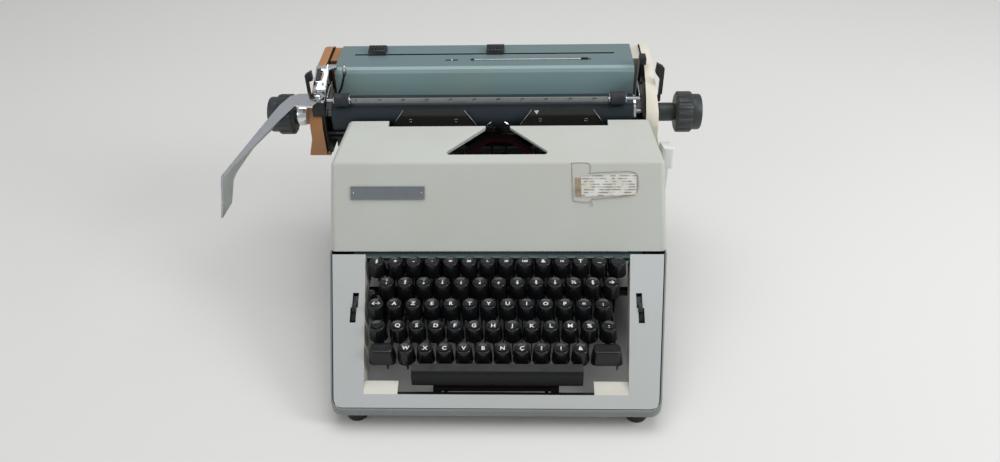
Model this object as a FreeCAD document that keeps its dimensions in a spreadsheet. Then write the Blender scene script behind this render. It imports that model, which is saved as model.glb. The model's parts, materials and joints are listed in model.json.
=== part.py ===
import FreeCAD, Part
import math
import os
import re
import Sketcher

# Office typewriter with typebars and a long carriage.
# X runs across the machine, Y from its front edge to the back, Z up from the table.
# Every sub-part is modelled about the machine's centre plane; its Placement then
# moves it so that the origin lies under the middle of the whole outline.

doc = FreeCAD.newDocument("typewriter")
sheet = doc.addObject("Spreadsheet::Sheet", "sheet")

SIZES = {
    # from the machine's centre plane and front edge to the origin of the model
    "datum_x": 23.5, "datum_y": -184,
    # casing in plan: half widths at the front, at the hood's lower edge and at the back
    "case_front": 2, "case_rear": 345, "junction_y": 140,
    "front_half": 159, "waist_half": 174, "rear_half": 170,
    "case_wall": 2.5, "corner_radius": 12, "fit_gap": 0.3,
    # casing in side view
    "foot_height": 17, "foot_radius": 11, "front_top": 24, "junction_z": 107.5, "rear_top": 140,
    # keyboard surround
    "plate_thick": 2.5, "opening_front_y": 16, "opening_front_half": 128.5,
    "opening_rear_half": 136.5, "slot_x": 144.6, "slot_width": 6, "slot_step": 1.4,
    "slot_low_y": 77, "slot_high_y": 103.5, "tab_width": 33, "tab_depth": 12,
    # hood
    "ridge_y": 190, "ridge_z": 186, "hood_rear_y": 249, "hood_rear_z": 201,
    "hood_top_half": 160.5, "hood_wall": 2.5, "hood_round": 6,
    "mouth_front_y": 201, "mouth_front_half": 57, "mouth_neck_y": 239,
    "mouth_neck_half": 13, "mouth_round": 3, "notch_half": 116.5, "notch_depth": 5,
    # frame
    "frame_half": 154, "frame_plate": 3, "frame_low": 20,
    # keys
    "key_pitch": 19.05, "row_depth": 20.5, "row_rise": 10.6, "low_row_y": 50, "low_row_z": 62,
    "cap_height": 14, "cap_gap": 1.05, "cap_top_radius": 6.5,
    "lever_thick": 1.2, "lever_low": 33, "lever_high": 41, "stem_depth": 5,
    "pivot_y": 296, "pivot_z": 37, "pivot_radius": 2, "pivot_clearance": 0.06,
    "bar_left": -82, "bar_right": 85, "bar_rear_y": 38.5, "bar_front_y": 25, "bar_top": 52.5,
    "bar_skirt": 35.3, "bar_post": 50, "post_radius": 2.5,
    # carriage
    "carriage_x": -16.5, "platen_y": 276, "platen_z": 195, "platen_radius": 20,
    "platen_half": 164, "shaft_radius": 4, "shaft_clearance": 0.06,
    "end_inner": 171.5, "end_plate": 3, "cover_thick": 14,
    "hub_radius": 10, "knob_radius": 22, "knob_start": 207.5, "knob_end": 225,
    "disc_radius": 17.5, "disc_end": 235, "shelf_z": 236, "shelf_rear_y": 360,
    "shelf_front_y": 307, "sheet_thick": 2, "rail_y": 300, "rail_width": 12, "rail_top": 144,
    # typing mechanism
    "basket_tilt": 12, "bar_length": 78, "bar_thick": 1.5, "bar_height": 5, "head_half": 1.25,
    "bar_count": 43, "bar_spread": 50, "strike_gap": 5,
    "reel_x": 108, "reel_y": 216, "reel_radius": 27, "reel_low": 158, "reel_high": 174,
    "shelf_low": 115,
    # paper bail
    "bail_y": 263, "bail_z": 219.2, "bail_radius": 2, "bail_roller_radius": 7.3,
    "bail_pivot_y": 292, "bail_pivot_z": 222,
    # first key of each row in pitches, from the tabulator row down to the lowest letters
    "first_key_a": -6.5144, "first_key_b": -5.9003, "first_key_c": -5.4068, "first_key_d": -5.1496,
    "first_key_e": -4.6509,
}

for row, (alias, size) in enumerate(SIZES.items(), start=1):
    sheet.set(f"A{row}", alias)
    sheet.set(f"B{row}", str(size))
    sheet.setAlias(f"B{row}", alias)
doc.recompute()

ALIAS = re.compile(r"(?<![\w.])(" + "|".join(sorted(SIZES, key=len, reverse=True)) + r")(?![\w.])")
V = FreeCAD.Vector
PARTS = []


def bound(expression):
    """The expression with every alias read from the sheet."""
    return ALIAS.sub(r"sheet.\1", str(expression))


def number(expression):
    """The present value of an expression on the sheet's sizes."""
    return float(sheet.evalExpression(bound(expression)))


def bind(thing, **sizes):
    """Ties properties to expressions; a double underscore stands for a dot."""
    for name, expression in sizes.items():
        thing.setExpression(name.replace("__", "."), bound(expression))
    return thing


def part(label, thing):
    """Registers a finished sub-part and puts it in the model's frame."""
    thing.Label = label
    base = thing.Placement.Base
    shift = [f"{base.x} + datum_x", f"{base.y} + datum_y"]
    for axis, expression in zip("xy", shift):
        old = dict(thing.ExpressionEngine).get(f".Placement.Base.{axis}")
        if old:
            expression = f"{old.replace('sheet.', '')} + datum_{axis}"
        thing.setExpression(f"Placement.Base.{axis}", bound(expression))
    PARTS.append(thing)
    return thing


# ---- sketches, pads and pockets -------------------------------------------------------

NORMAL = {"XY": 1, "XZ": -1, "YZ": 1}


def new_body(name):
    return doc.addObject("PartDesign::Body", name)


def add_loop(sketch, points, index, tied):
    """Adds one closed outline; a circle is given as (x, y, radius)."""
    first = sketch.GeometryCount
    if isinstance(points, tuple):
        x, y, radius = points
        centre = V(number(x), number(y), 0)
        sketch.addGeometry(Part.Circle(centre, V(0, 0, 1), number(radius)), False)
        rules = [("DistanceX", -1, 1, first, 3, x), ("DistanceY", -1, 1, first, 3, y),
                 ("Radius", first, radius)]
    else:
        spots = [V(number(x), number(y), 0) for x, y in points]
        after = spots[1:] + spots[:1]
        sketch.addGeometry([Part.LineSegment(a, b) for a, b in zip(spots, after)], False)
        count = len(spots)
        rules = []
        for i in range(count):
            rules.append(("Coincident", first + i, 2, first + (i + 1) % count, 1))
        for i, (x, y) in enumerate(points):
            rules.append(("DistanceX", -1, 1, first + i, 1, x))
            rules.append(("DistanceY", -1, 1, first + i, 1, y))
    for rule in rules:
        if rule[0] == "Coincident":
            sketch.addConstraint(Sketcher.Constraint(*rule))
        else:
            sketch.addConstraint(Sketcher.Constraint(*rule[:-1], number(rule[-1])))
            if ALIAS.search(str(rule[-1])):
                tied.append((index, rule[-1]))
        index += 1
    return index


def sketch_on(body, plane, loops, level):
    """A sketch parallel to one of the body's origin planes, at a level on its normal axis."""
    sketch = body.newObject("Sketcher::SketchObject", body.Name + "_sketch")
    support = [f for f in body.Origin.OriginFeatures if f.Role == plane + "_Plane"][0]
    sketch.AttachmentSupport = [(support, "")]
    sketch.MapMode = "FlatFace"
    one_circle = isinstance(loops, tuple)
    if one_circle or len(loops[0]) == 2 and isinstance(loops[0], tuple):
        loops = [loops]
    tied = []
    index = 0
    for loop in loops:
        index = add_loop(sketch, loop, index, tied)
    for number_of, expression in tied:
        sketch.setExpression(f"Constraints[{number_of}]", bound(expression))
    sign = "" if NORMAL[plane] > 0 else "-"
    sketch.setExpression("AttachmentOffset.Base.z", bound(f"{sign}({level})"))
    return sketch


def add(body, plane, loops, low, high):
    """Pads an outline between two levels on the plane's axis."""
    start = low if NORMAL[plane] > 0 else high
    sketch = sketch_on(body, plane, loops, start)
    pad = body.newObject("PartDesign::Pad", body.Name + "_pad")
    pad.Profile = (sketch, [""])
    bind(pad, Length=f"({high}) - ({low})")
    return pad


def remove(body, plane, loops, low, high):
    """Cuts an outline out of the body between two levels on the plane's axis."""
    start = high if NORMAL[plane] > 0 else low
    sketch = sketch_on(body, plane, loops, start)
    pocket = body.newObject("PartDesign::Pocket", body.Name + "_pocket")
    pocket.Profile = (sketch, [""])
    bind(pocket, Length=f"({high}) - ({low})")
    return pocket


def round_edges(body, radius, wanted):
    """Fillets the tip's straight edges that the test picks."""
    doc.recompute()
    tip = body.Tip
    names = []
    for i, edge in enumerate(tip.Shape.Edges, start=1):
        if len(edge.Vertexes) == 2 and wanted(edge.Vertexes[0].Point, edge.Vertexes[1].Point):
            names.append(f"Edge{i}")
    fillet = body.newObject("PartDesign::Fillet", body.Name + "_fillet")
    fillet.Base = (tip, names)
    bind(fillet, Radius=radius)
    return fillet


# ---- primitives and booleans ----------------------------------------------------------

TURN = {"X": (V(0, 1, 0), 90), "Y": (V(1, 0, 0), -90), "Z": (V(0, 0, 1), 0)}


def block(name, x0, x1, y0, y1, z0, z1):
    """A box between two corners."""
    thing = doc.addObject("Part::Box", name)
    bind(thing, Length=f"({x1}) - ({x0})", Width=f"({y1}) - ({y0})", Height=f"({z1}) - ({z0})")
    return bind(thing, Placement__Base__x=x0, Placement__Base__y=y0, Placement__Base__z=z0)


def rod(name, axis, radius, low, high, across, up):
    """A cylinder along an axis, from one level to another, at two cross coordinates."""
    thing = doc.addObject("Part::Cylinder", name)
    bind(thing, Radius=radius, Height=f"({high}) - ({low})")
    return along(thing, axis, low, across, up)


def along(thing, axis, low, across, up):
    """Turns a round primitive onto an axis and puts it in its place."""
    direction, angle = TURN[axis]
    thing.Placement = FreeCAD.Placement(V(0, 0, 0), FreeCAD.Rotation(direction, angle))
    places = {"X": (low, across, up), "Y": (across, low, up), "Z": (across, up, low)}[axis]
    for letter, place in zip("xyz", places):
        thing.setExpression(f"Placement.Base.{letter}", bound(place))
    return thing


def joined(name, things):
    thing = doc.addObject("Part::MultiFuse", name)
    thing.Shapes = things
    return thing


def group(name, things):
    """Separate solids that share one node."""
    thing = doc.addObject("Part::Compound", name)
    thing.Links = things
    return thing


def cut(name, base, tools):
    thing = doc.addObject("Part::Cut", name)
    thing.Base = base
    thing.Tool = tools[0] if len(tools) == 1 else group(name + "_tools", tools)
    return thing


def common(name, first, second):
    thing = doc.addObject("Part::MultiCommon", name)
    thing.Shapes = [first, second]
    return thing


# ---- lines of the casing --------------------------------------------------------------

SLOPE = "((junction_z - front_top) / (junction_y - case_front))"
SLOPE_ANGLE = "atan2(junction_z - front_top; junction_y - case_front)"


def plate_z(y, drop=0):
    """Height of the keyboard surround's upper face at y, less a drop."""
    return f"(front_top + ({y} - case_front) * {SLOPE} - ({drop}))"


# the strike line: the axis that the typebars swing on to, tilted with the basket
STRIKE_Y = "(platen_y - (platen_radius + strike_gap) * cos(basket_tilt))"
STRIKE_Z = "(platen_z - (platen_radius + strike_gap) * sin(basket_tilt))"
SEGMENT_OUTER = "(bar_length + 14)"
SEGMENT_SEAT_Y = f"({STRIKE_Y} + {SEGMENT_OUTER} * sin(basket_tilt) - 10)"
RAIL_TOP_Z = f"({STRIKE_Z} - {SEGMENT_OUTER} * cos(basket_tilt) - 3 * sin(basket_tilt))"


RAIL_LOW_Z = f"({RAIL_TOP_Z} - 13)"


def half_width(y, inset=0):
    """Half width of the casing at y, in front of the hood's lower edge or behind it."""
    front = f"front_half + (waist_half - front_half) * (({y}) - case_front) / (junction_y - case_front)"
    rear = f"waist_half + (rear_half - waist_half) * (({y}) - junction_y) / (case_rear - junction_y)"
    chosen = front if number(y) <= number("junction_y") else rear
    return f"({chosen} - ({inset}))"


def plan(inset):
    """The casing's outline in plan, drawn in by an inset all round."""
    front, rear = f"case_front + ({inset})", f"case_rear - ({inset})"
    left = [(f"-{half_width(y, inset)}", y) for y in (front, "junction_y", rear)]
    right = [(half_width(y, inset), y) for y in (rear, "junction_y", front)]
    return left + right


def lower_shell():
    """Open-bottomed shell that follows the keyboard's slope in front."""
    body = new_body("lower_shell")
    add(body, "XY", plan("0"), "foot_height", "junction_z")
    remove(body, "XY", plan("case_wall"), "foot_height - 1", "junction_z + 1")
    corner, wall = number("front_half") - 1, number("case_wall")

    def upright(a, b):
        return abs(a.x - b.x) + abs(a.y - b.y) < 0.01 and a.y < 10

    round_edges(body, "corner_radius", lambda a, b: upright(a, b) and abs(a.x) > corner)
    round_edges(body, "corner_radius - case_wall",
                lambda a, b: upright(a, b) and corner - wall < abs(a.x) < corner)
    slope = [("case_front - 10", plate_z("case_front - 10")), ("junction_y", "junction_z"),
             ("junction_y", "junction_z + 20"), ("case_front - 10", "junction_z + 20")]
    remove(body, "YZ", slope, "-waist_half - 1", "waist_half + 1")
    return part("lower_shell", body)


def rear_cover():
    """U-shaped wall round the back of the machine, under the carriage."""
    body = new_body("rear_cover")
    front, back, inner = "hood_rear_y + 3", "case_rear", "case_rear - hood_wall"
    outline = [(f"-{half_width(front)}", front), (f"-{half_width(back)}", back),
               (half_width(back), back), (half_width(front), front),
               (half_width(front, "hood_wall"), front), (half_width(inner, "hood_wall"), inner),
               (f"-{half_width(inner, 'hood_wall')}", inner),
               (f"-{half_width(front, 'hood_wall')}", front)]
    add(body, "XY", outline, "junction_z", "rear_top")
    return part("rear_cover", body)


def keyboard_surround():
    """Sloping U-shaped plate round the keys, with two lever slots and two corner tabs."""
    body = new_body("keyboard_surround")

    def run(y):
        return f"(({y}) - case_front) / cos({SLOPE_ANGLE})"

    inset = "case_wall + fit_gap"
    front, rear = "case_front + case_wall + fit_gap", "junction_y - 1"
    outer_front, outer_rear = half_width(front, inset), half_width(rear, inset)
    outline = [(f"-{outer_front}", run(front)), (outer_front, run(front)),
               (outer_rear, run(rear)), ("opening_rear_half", run(rear)),
               ("opening_front_half", run("opening_front_y")),
               ("-opening_front_half", run("opening_front_y")),
               ("-opening_rear_half", run(rear)), (f"-{outer_rear}", run(rear))]
    add(body, "XY", outline, "-plate_thick", "0")
    corner = number(outer_front) - 1
    round_edges(body, "corner_radius - case_wall - fit_gap",
                lambda a, b: abs(a.x - b.x) + abs(a.y - b.y) < 0.01 and abs(a.x) > corner
                and a.y < number("opening_front_y"))
    slot_middle = "(slot_low_y + slot_high_y) / 2"
    for side in (-1, 1):
        inner, outer = "slot_x - slot_width / 2", "slot_x + slot_width / 2"
        step = [(f"{side} * ({inner})", run("slot_low_y")),
                (f"{side} * ({outer})", run("slot_low_y")),
                (f"{side} * ({outer})", run(slot_middle)),
                (f"{side} * ({outer} - slot_step)", run(slot_middle)),
                (f"{side} * ({outer} - slot_step)", run("slot_high_y")),
                (f"{side} * ({inner} - slot_step)", run("slot_high_y")),
                (f"{side} * ({inner} - slot_step)", run(slot_middle)),
                (f"{side} * ({inner})", run(slot_middle))]
        remove(body, "XY", step, "-plate_thick - 1", "1")
    upright = [(run("opening_front_y"), "0"),
               (run("opening_front_y") + f" - plate_thick * tan({SLOPE_ANGLE})", "-plate_thick"),
               (run("opening_front_y"), "-plate_thick")]
    remove(body, "YZ", upright, "-(opening_front_half - tab_width)", "opening_front_half - tab_width")
    for side in (-1, 1):
        near, far = "opening_front_half - tab_width", "opening_front_half + 1"
        low, high = (f"-({far})", f"-({near})") if side < 0 else (near, far)
        start = run("opening_front_y - 1")
        stop = run("opening_front_y + tab_depth")
        tab = [(start, "-plate_thick"), (start, "0"), (f"{start} + 4", "-0.6"), (f"{start} + 8", "-2.2"),
               (stop, "-5"), (stop, "-5 - plate_thick / 2"), (f"{start} + 7", "-plate_thick - 1.5")]
        add(body, "YZ", tab, low, high)
    body.Placement = FreeCAD.Placement(V(0, 0, 0), FreeCAD.Rotation(V(1, 0, 0), 30))
    bind(body, Placement__Rotation__Angle=SLOPE_ANGLE, Placement__Base__y="case_front",
         Placement__Base__z="front_top")
    return part("keyboard_surround", body)


def hood_form(name, inset):
    """The hood's outer form, or its inner one when drawn in by the wall."""
    low = "junction_z + 0.5" if inset == "0" else "junction_z - 1"
    side = new_body(name + "_side")
    back = "hood_rear_y" if inset == "0" else "hood_rear_y + 1"
    profile = [(f"junction_y + 2.5 + ({inset})", low),
               (f"ridge_y + ({inset}) * 0.62", f"ridge_z - ({inset})"),
               (back, f"hood_rear_z - ({inset})"), (back, low)]
    add(side, "YZ", profile, "-waist_half", "waist_half")
    front = new_body(name + "_front")
    foot, top = f"waist_half - ({inset})", f"hood_top_half - ({inset})"
    outline = [(f"-({foot})", low), (foot, low), (top, "hood_rear_z"), (f"-({top})", "hood_rear_z")]
    add(front, "XZ", outline, "junction_y", "hood_rear_y + 2")
    return common(name, side, front)


def hood():
    """Sheet hood over the typebars, with the mouth that they strike through."""
    outer = hood_form("hood_outer", "0")
    doc.recompute()
    names = []
    ridge, top = number("ridge_z"), number("hood_rear_z")
    for i, edge in enumerate(outer.Shape.Edges, start=1):
        a, b = edge.Vertexes[0].Point, edge.Vertexes[1].Point
        along_x = abs(a.y - b.y) < 0.01 and abs(a.z - ridge) < 0.5
        up_side = abs(a.x - b.x) > 1 and abs(a.x) > 150 and a.x * b.x > 0 and min(a.y, b.y) < 248
        if along_x or up_side:
            names.append((i, number("hood_round"), number("hood_round")))
    rounded = doc.addObject("Part::Fillet", "hood_rounded")
    rounded.Base = outer
    rounded.Edges = names
    inner = hood_form("hood_inner", "hood_wall")
    mouth = new_body("hood_mouth")
    neck = [("-mouth_front_half", "mouth_front_y"), ("mouth_front_half", "mouth_front_y"),
            ("mouth_neck_half", "mouth_neck_y"), ("mouth_neck_half", "hood_rear_y + 2"),
            ("-mouth_neck_half", "hood_rear_y + 2"), ("-mouth_neck_half", "mouth_neck_y")]
    add(mouth, "XY", neck, "ridge_z - 10", "hood_rear_z + 5")
    wide = number("mouth_front_half") - 1
    round_edges(mouth, "mouth_round",
                lambda a, b: abs(a.x - b.x) + abs(a.y - b.y) < 0.01 and abs(a.x) > wide)
    notch = block("hood_notch", "-notch_half", "notch_half", "hood_rear_y - 8", "hood_rear_y + 2",
                  "hood_rear_z - notch_depth", "hood_rear_z + 5")
    return part("hood", cut("hood", rounded, [inner, mouth, notch]))


def main_frame():
    """Two side plates tied by cross rails that carry the feet, the segment and the carriage."""
    body = new_body("main_frame")
    profile = [("10", "foot_height"), ("10", "frame_low + 3"), ("junction_y", plate_z("junction_y", 14)),
               ("junction_y + 40", "junction_z + 10"), ("rail_y - 12", "rail_top - 8"),
               ("rail_y + rail_width + 12", "rail_top - 8"), ("case_rear - 8", "60"),
               ("case_rear - 8", "foot_height")]
    inner = "frame_half - frame_plate"
    add(body, "YZ", profile, "-frame_half", f"-({inner})")
    add(body, "XY", [(f"-({inner}) - 1", "10"), (f"{inner} + 1", "10"), (f"{inner} + 1", "30"),
                     (f"-({inner}) - 1", "30")], "foot_height", "frame_low")
    add(body, "YZ", profile, inner, "frame_half")
    add(body, "XY", [(f"-({inner}) - 1", "case_rear - 35"), (f"{inner} + 1", "case_rear - 35"),
                     (f"{inner} + 1", "case_rear - 10"), (f"-({inner}) - 1", "case_rear - 10")],
        "foot_height", "frame_low")
    for low, high in (("244", "254"), (SEGMENT_SEAT_Y, f"{SEGMENT_SEAT_Y} + 18")):
        add(body, "XZ", [(f"-({inner}) - 1", RAIL_LOW_Z), (f"{inner} + 1", RAIL_LOW_Z),
                         (f"{inner} + 1", RAIL_TOP_Z),
                         (f"-({inner}) - 1", RAIL_TOP_Z)], low, high)
    for side in (-1, 1):
        near, far = f"{side} * 96", f"{side} * ({inner} + 1)"
        add(body, "XY", [(near, "reel_y - 12"), (far, "reel_y - 12"), (far, "reel_y + 12"),
                         (near, "reel_y + 12")], "shelf_low", "shelf_low + 3")
    hole = ("pivot_y", "pivot_z", "pivot_radius")
    remove(body, "YZ", hole, "-frame_half - 1", "frame_half + 1")
    return part("main_frame", body)


def feet():
    """Four rubber feet under the frame's cross rails."""
    things = []
    places = [(x, y) for y in ("20", "case_rear - 22") for x in ("-138", "138")]
    for i, (x, y) in enumerate(places):
        things.append(rod(f"foot_{i}", "Z", "foot_radius", "0", "foot_height", x, y))
    return part("rubber_feet", group("rubber_feet", things))


def key_well_panel():
    """Bent strip behind the top row of keys, under the hood's lower edge."""
    body = new_body("key_well_panel")
    top = "junction_z - 6"
    front, back = "junction_y + 0.2", "junction_y + 10"
    profile = [(front, f"{top} - 1"), (front, top), (back, top), (back, f"{top} - 12"),
               (f"{back} - 1", f"{top} - 12"), (f"{back} - 1", f"{top} - 1")]
    add(body, "YZ", profile, "frame_plate - frame_half", "frame_half - frame_plate")
    return part("key_well_panel", body)


def brake_housing():
    """Box at the right beside the hood, on a leg that stands on the lower shell's wall."""
    box = block("brake_box", "waist_half + 0.5", "waist_half + 13", "hood_rear_y - 23",
                "hood_rear_y + 2.5", "150", "180")
    leg = block("brake_leg", "rear_half - 1", "waist_half + 13", "hood_rear_y + 0.6", "hood_rear_y + 2.7",
                "junction_z", "151")
    return part("brake_housing", joined("brake_housing", [box, leg]))


def front_bracket():
    """Drilled bar under the space bar that guides its posts."""
    body = new_body("front_bracket")
    bar = [("-62", "27.5"), ("62", "27.5"), ("62", "38"), ("-62", "38")]
    add(body, "XY", bar, "24", "28")
    for side in (-1, 1):
        leg = [(f"{side} * 54", "27.5"), (f"{side} * 62", "27.5"), (f"{side} * 62", "30"),
               (f"{side} * 54", "30")]
        add(body, "XY", leg, "frame_low", "25")
        remove(body, "XY", (f"{side} * bar_post", "33", "post_radius + pivot_clearance"), "23", "29")
    return part("front_bracket", body)


def space_bar():
    """Hollow bar with two guide posts."""
    body = new_body("space_bar")
    wall = "2"
    outer = [("bar_front_y", "bar_skirt"), ("bar_front_y + 1.5", "bar_top - 4"),
             ("bar_front_y + 4", "bar_top - 1.5"),
             ("bar_rear_y - 1", "bar_top"), ("bar_rear_y", "bar_skirt")]
    inner = [(f"bar_front_y + {wall}", "bar_skirt - 1"), (f"bar_front_y + 1.5 + {wall}", "bar_top - 6"),
             (f"bar_rear_y - 1 - {wall}", "bar_top - 3"), (f"bar_rear_y - {wall}", "bar_skirt - 1")]
    add(body, "YZ", outer, "bar_left", "bar_right")
    remove(body, "YZ", inner, f"bar_left + {wall}", f"bar_right - {wall}")
    for side in (-1, 1):
        add(body, "XY", (f"{side} * bar_post", "33", "post_radius"), "19", "bar_top - 4")
    return part("space_bar", body)


def key_stop_bar():
    """Padded bar that the key levers rest against from below."""
    return part("key_stop_bar", block("key_stop_bar", "frame_plate - frame_half",
                                      "frame_half - frame_plate",
                                      "148", "154", "lever_high + fit_gap", "lever_high + 8"))


def key_pivot_rod():
    """Rod that all the key levers turn on."""
    return part("key_pivot_rod", rod("key_pivot_rod", "X", "pivot_radius", "-frame_half", "frame_half",
                                     "pivot_y", "pivot_z"))


def lever_with_stem(name, x, y, cap_base):
    """Flat lever with its stem, notched below to hook on to the pivot rod."""
    reach = "(pivot_radius + pivot_clearance)"
    stem_front, stem_rear = f"{y} - stem_depth / 2", f"{y} + stem_depth / 2"
    notch = [(f"pivot_y - {reach}", "lever_low"), (f"pivot_y - {reach}", f"pivot_z + {reach}"),
             (f"pivot_y + {reach}", f"pivot_z + {reach}"), (f"pivot_y + {reach}", "lever_low")]
    profile = [(stem_front, "lever_low"), *notch, ("pivot_y + 5", "lever_low"),
               ("pivot_y + 5", "lever_high"),
               (stem_rear, "lever_high"), (stem_rear, f"{cap_base} + 1"), (stem_front, f"{cap_base} + 1")]
    body = new_body(name + "_lever")
    add(body, "YZ", profile, f"{x} - lever_thick / 2", f"{x} + lever_thick / 2")
    return body


CAP_SIDES = 12
CAP_RADIUS = "((key_pitch - cap_gap) / 2)"


def key(name, x, y, top, slimmer="0"):
    """A tapered round key on its stem and lever."""
    base = f"({top} - cap_height)"
    rings = []
    for level, reach in ((base, f"{CAP_RADIUS} - {slimmer}"), (top, f"cap_top_radius - {slimmer}")):
        ring = doc.addObject("Part::RegularPolygon", name + "_ring")
        ring.Polygon = CAP_SIDES
        bind(ring, Circumradius=reach, Placement__Base__x=x, Placement__Base__y=y, Placement__Base__z=level)
        rings.append(ring)
    cap = doc.addObject("Part::Loft", name + "_cap")
    cap.Sections = rings
    cap.Solid = True
    cap.Ruled = True
    return joined(name, [cap, lever_with_stem(name, x, y, base)])


def wide_key(name, low, high, y, top, lever_x):
    """A wide tapered key, such as a shift key."""
    body = new_body(name + "_cap")
    base = f"({top} - cap_height)"
    outline = [(low, base), (high, base), (f"{high} - 2.5", f"{top} - 1"), (f"{high} - 4", top),
               (f"{low} + 4", top),
               (f"{low} + 2.5", f"{top} - 1")]
    add(body, "XZ", outline, f"{y} - {CAP_RADIUS} + 0.5", f"{y} + {CAP_RADIUS} - 0.5")
    return joined(name, [body, lever_with_stem(name, lever_x, y, base)])


def row_place(row):
    """Y and top height of a row of keys, counted from the lowest row."""
    return f"(low_row_y + {row} * row_depth)", f"(low_row_z + {row} * row_rise)"


def pitches(count):
    """A distance of so many key pitches from the middle of the machine."""
    return f"(({count}) * key_pitch)"


def key_row(label, row, first, count, extras=()):
    """A row of keys as separate solids in one node."""
    y, top = row_place(row)
    things = [key(f"{label}_{i}", pitches(f"{first} + {i}"), y, top) for i in range(count)]
    return part(label, group(label, things + list(extras)))


HOME_KEYS = ["q", "s", "d", "f", "g", "h", "j", "k", "l", "m", "percent", "colon"]


def keyboard():
    """All the keys: one node for each home-row key, one for each other row."""
    home_y, home_top = row_place(1)
    for i, letter in enumerate(HOME_KEYS):
        part(f"key_{letter}", key(f"key_{letter}", pitches(f"first_key_d + {i}"), home_y, home_top))
    y, top = row_place(2)
    margin_key = key("margin_key", pitches("-6.378"), y, top)
    key_row("keys_row_low", 0, "first_key_e", 10)
    key_row("keys_row_upper", 2, "first_key_c", 12, [margin_key])
    y, top = row_place(2.7)
    low_key = key("ribbon_key", pitches("-6.693"), y, f"{top} - 5", "4")
    key_row("keys_row_number", 3, "first_key_b", 13, [low_key])
    key_row("keys_row_tabulator", 4, "first_key_a", 14)
    low_y, low_top = row_place(0)
    left = wide_key("shift_left", pitches("-6.63"), pitches("-5.192"), low_y, low_top, pitches("-5.706"))
    right = wide_key("shift_right", pitches("4.892"), pitches("6.535"), low_y, low_top, pitches("6.294"))
    part("shift_keys", group("shift_keys", [left, right]))
    part("shift_lock_key", key("shift_lock_key", pitches("-6.21"), home_y, home_top))


def in_basket(label, body):
    """Puts a body modelled about the strike line into its tilted place."""
    body.Placement = FreeCAD.Placement(V(0, 0, 0), FreeCAD.Rotation(V(1, 0, 0), 12))
    bind(body, Placement__Rotation__Angle="basket_tilt", Placement__Base__y=STRIKE_Y,
         Placement__Base__z=STRIKE_Z)
    return part(label, body)


def radial(radius, side, angle):
    """A point at a radius below the strike line, swung by an angle, and set off to one side."""
    return (f"({radius}) * sin({angle}) + ({side}) * cos({angle})",
            f"({side}) * sin({angle}) - ({radius}) * cos({angle})")


def radial_box(inner, outer, half, angle):
    return [radial(inner, f"-({half})", angle), radial(outer, f"-({half})", angle),
            radial(outer, half, angle), radial(inner, half, angle)]


def spread(body, feature, angle, count, backwards=False):
    """Repeats features round the strike line."""
    doc.recompute()
    pattern = body.newObject("PartDesign::PolarPattern", body.Name + "_pattern")
    pattern.Originals = feature
    axis = [f for f in body.Origin.OriginFeatures if f.Role == "Y_Axis"][0]
    pattern.Axis = (axis, [""])
    pattern.Reversed = backwards
    bind(pattern, Angle=angle, Occurrences=count)
    body.Tip = pattern
    return pattern


BAR_STEP = "(2 * bar_spread / (bar_count - 1))"


def typebar_segment():
    """Slotted half ring that the typebars are hinged in."""
    body = new_body("typebar_segment")
    inner, outer = "bar_length - 12", SEGMENT_OUTER
    add(body, "XZ", ("0", "0", outer), "-3", "5")
    remove(body, "XZ", ("0", "0", inner), "-4", "6")
    edge = "(bar_spread + 5)"
    top = [radial("0", "0", "0"), radial(f"{outer} * 2", "0", edge), (f"{outer} * 2", f"{outer} * 2"),
           (f"-{outer} * 2", f"{outer} * 2"), radial(f"{outer} * 2", "0", f"-{edge}")]
    remove(body, "XZ", top, "-5", "7")
    slot = radial_box("bar_length - 13", "bar_length + 6", "bar_thick / 2 + fit_gap / 2", "-bar_spread")
    first = remove(body, "XZ", slot, "-4", "6")
    spread(body, [first], "2 * bar_spread", "bar_count", True)
    return in_basket("typebar_segment", body)


def one_bar(body, angle):
    """One typebar with its type head, at an angle round the strike line."""
    half = "bar_height / 2"
    shank = add(body, "XZ", radial_box(f"bar_length - {half}", f"bar_length + {half}", "bar_thick / 2",
                                       angle),
                "-bar_length", "4")
    head = add(body, "XZ", radial_box("bar_length - strike_gap + fit_gap", f"bar_length - {half} + 0.01",
                                      "head_half", angle),
               "-bar_length - 6", "-bar_length + 6")
    return [shank, head]


def typebars():
    """The typebars at rest, and the middle one on its own."""
    body = new_body("typebars")
    body.AllowCompound = True
    side_count = "(bar_count - 1) / 2"
    for sign, backwards in ((1, True), (-1, False)):
        features = one_bar(body, f"({sign} * {BAR_STEP})")
        spread(body, features, f"bar_spread - {BAR_STEP}", side_count, backwards)
    in_basket("typebars", body)
    middle = new_body("typebar_middle")
    one_bar(middle, "0")
    in_basket("typebar_middle", middle)


def ribbon_vibrator():
    """Fork in front of the platen that lifts the ribbon to the type."""
    body = new_body("ribbon_vibrator")
    outline = [("-9", "-8"), ("-9", "-46"), ("-3", "-46"), ("-3", "-bar_length + 12 + fit_gap"),
               ("3", "-bar_length + 12 + fit_gap"), ("3", "-46"), ("9", "-46"), ("9", "-8"), ("7", "-8"),
               ("7", "-40"), ("-7", "-40"), ("-7", "-8")]
    add(body, "XZ", outline, "bar_height / 2 + 0.5", "bar_height / 2 + 1.4")
    return in_basket("ribbon_vibrator", body)


def type_guide():
    """Two arms in front of the platen, on posts, with a gap between them for the type."""
    things = []
    for side in (-1, 1):
        body = new_body(f"type_guide_{'left' if side < 0 else 'right'}")
        outline = [(f"{side} * 3.5", "186"), (f"{side} * 3.5", "191"), (f"{side} * 13", "192.5"),
                   (f"{side} * 120", "192.5"),
                   (f"{side} * 120", RAIL_TOP_Z), (f"{side} * 112", RAIL_TOP_Z), (f"{side} * 112", "186")]
        add(body, "XZ", outline, "hood_rear_y + 1.6", "hood_rear_y + 3.4")
        things.append(body)
    return part("type_guide", group("type_guide", things))


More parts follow.
